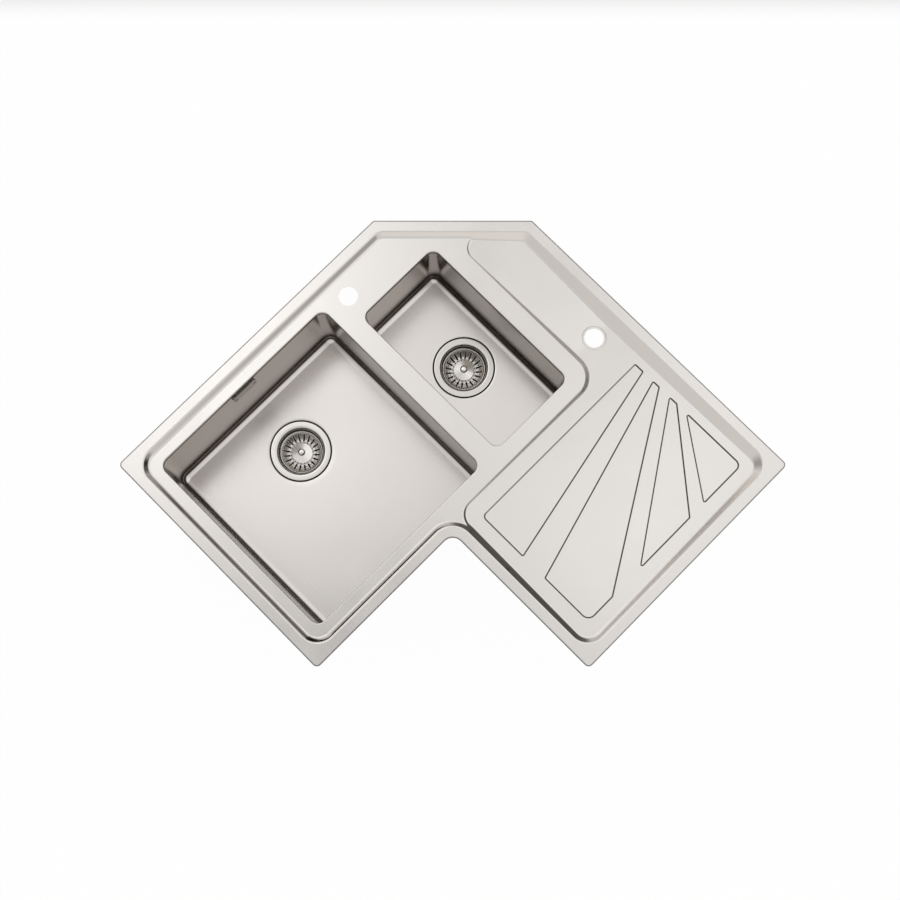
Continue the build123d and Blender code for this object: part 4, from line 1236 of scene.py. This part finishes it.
def studio_world():
    """A plain studio's light: bright overhead, and by direction near the horizon."""
    world = bpy.data.worlds.new("Studio")
    bpy.context.scene.world = world
    world.use_nodes = True
    tree = world.node_tree
    tree.nodes.clear()
    way = add_node(tree, "ShaderNodeTexCoord").outputs["Generated"]
    around = add_node(tree, "ShaderNodeGroup",
                      {"node_tree": bpy.data.node_groups["Studio by direction"]}, Vector=way)
    split = axes(tree, way)
    height = ranged(tree, split[2], 0.15, 0.72, 0.0, 1.0, smooth=True)
    overhead = ranged(tree, split[1], -0.2, 0.24, 0.78, 1.02, smooth=True)
    for x, y, reach, gain in SOFTBOXES:
        away = add_node(tree, "ShaderNodeVectorMath", {"operation": "DISTANCE"}, i0=way,
                        i1=(x, y, math.sqrt(1 - x * x - y * y)))
        soft = ranged(tree, away.outputs["Value"], 0.0, reach, gain, 0.0, smooth=True)
        overhead = maths(tree, "ADD", overhead, soft)
    level = mixed(tree, height, around.outputs["Above"], overhead)
    light = add_node(tree, "ShaderNodeBackground", Color=level, Strength=1.0)
    add_node(tree, "ShaderNodeOutputWorld", i0=light.outputs[0])


def floor_material(pale):
    """The floor: pale and matt, shown near white round the sink and in the studio's tone far
    from it, alike to the camera and to the steel, with the sink's shadow left on it."""
    material, tree = empty_material("Pale floor")
    place = object_place(tree)
    around = add_node(tree, "ShaderNodeGroup",
                      {"node_tree": bpy.data.node_groups["Studio by direction"]}, Vector=place)
    # how far out of a square that stands on its corner, as the photograph's frame does
    split = axes(tree, place)
    away = maths(tree, "ADD", maths(tree, "ABSOLUTE", split[0]), maths(tree, "ABSOLUTE", split[1]))
    far = ranged(tree, away, 1.36, 1.60, 0.0, 1.0, smooth=True)
    shown = mixed(tree, far, (1.0, 1.0, 1.0, 1), around.outputs["Below"])
    matt = add_node(tree, "ShaderNodeBsdfDiffuse", Color=(*pale, 1))
    white = add_node(tree, "ShaderNodeEmission", Color=shown, Strength=1.0)
    path = add_node(tree, "ShaderNodeLightPath").outputs
    first = maths(tree, "ADD", path["Is Camera Ray"], path["Is Glossy Ray"])
    seen = maths(tree, "ADD", first, path["Is Transmission Ray"], clamp=True)
    both = add_node(tree, "ShaderNodeMixShader", i0=maths(tree, "MULTIPLY", seen, 0.97),
                    i1=matt.outputs[0], i2=white.outputs[0])
    add_node(tree, "ShaderNodeOutputMaterial", i0=both.outputs[0])
    return material


def photo_camera(settings):
    """The photograph's camera: high over the front corner of the L, looking down at the
    elevation, turned so that the cut corner is up."""
    e, a = settings.elevation, math.radians(45)
    look = Vector((-math.cos(e) * math.sin(a), math.cos(e) * math.cos(a), -math.sin(e)))
    up = Vector((-math.sin(e) * math.sin(a), math.sin(e) * math.cos(a), math.cos(e)))
    right = look.cross(up)
    data = bpy.data.cameras.new("Photo camera")
    data.sensor_width = 36
    data.lens = settings.lens
    data.shift_x = -0.003
    camera = bpy.data.objects.new("Photo camera", data)
    camera.matrix_world = Matrix((
        (right.x, up.x, -look.x, 251.3 * MM),
        (right.y, up.y, -look.y, -251.3 * MM),
        (right.z, up.z, -look.z, 2473.0 * MM),
        (0, 0, 0, 1),
    ))
    data.clip_end = 50
    bpy.context.scene.collection.objects.link(camera)
    bpy.context.scene.camera = camera


class SINK_OT_stage(bpy.types.Operator):
    """Make the pale floor, the studio's light and the camera"""

    bl_idname = "sink.stage"
    bl_label = "Stage"

    def execute(self, context):
        settings = context.scene.sink_stage
        floor = -286.2
        reach = 6000.0
        points = np.array([(-reach, -reach, floor), (reach, -reach, floor), (reach, reach, floor),
                           (-reach, reach, floor)]) * MM
        mesh = bpy.data.meshes.new("Floor")
        mesh.from_pydata(points.tolist(), [], [(0, 1, 2, 3)])
        studio_group()
        material = floor_material(settings.backdrop)
        mesh.materials.append(material)
        piece = bpy.data.objects.new("Floor", mesh)
        context.scene.collection.objects.link(piece)
        studio_world()
        photo_camera(settings)
        context.scene.view_settings.view_transform = "Standard"
        return {"FINISHED"}


class SINK_PT_panel(bpy.types.Panel):
    """The sink's pieces and settings"""

    bl_idname = "SINK_PT_panel"
    bl_label = "Corner kitchen sink"
    bl_space_type = "VIEW_3D"
    bl_region_type = "UI"
    bl_category = "Sink"

    def draw(self, context):
        for operator in OPERATORS:
            self.layout.operator(operator.bl_idname)
        for group in ("sink_deck", "sink_bowls", "sink_waste", "sink_finish", "sink_stage"):
            held = getattr(context.scene, group)
            box = self.layout.box()
            for name in held.bl_rna.properties.keys():
                if name not in ("rna_type", "name"):
                    box.prop(held, name)


SETTINGS = {
    "sink_deck": SinkDeckSettings, "sink_bowls": SinkBowlSettings, "sink_waste": SinkWasteSettings,
    "sink_finish": SinkFinishSettings, "sink_stage": SinkStageSettings,
}
OPERATORS = [SINK_OT_deck, SINK_OT_bowls, SINK_OT_wastes, SINK_OT_carried, SINK_OT_stage]


def register():
    for cls in [*SETTINGS.values(), *OPERATORS, SINK_PT_panel]:
        bpy.utils.register_class(cls)
    for name, cls in SETTINGS.items():
        setattr(bpy.types.Scene, name, PointerProperty(type=cls))


def unregister():
    for name in SETTINGS:
        delattr(bpy.types.Scene, name)
    for cls in [SINK_PT_panel, *OPERATORS, *SETTINGS.values()]:
        bpy.utils.unregister_class(cls)


def main():
    register()
    for operator in OPERATORS:
        group, name = operator.bl_idname.split(".")
        getattr(getattr(bpy.ops, group), name)()
    bpy.context.view_layer.update()


if __name__ == "__main__":
    main()
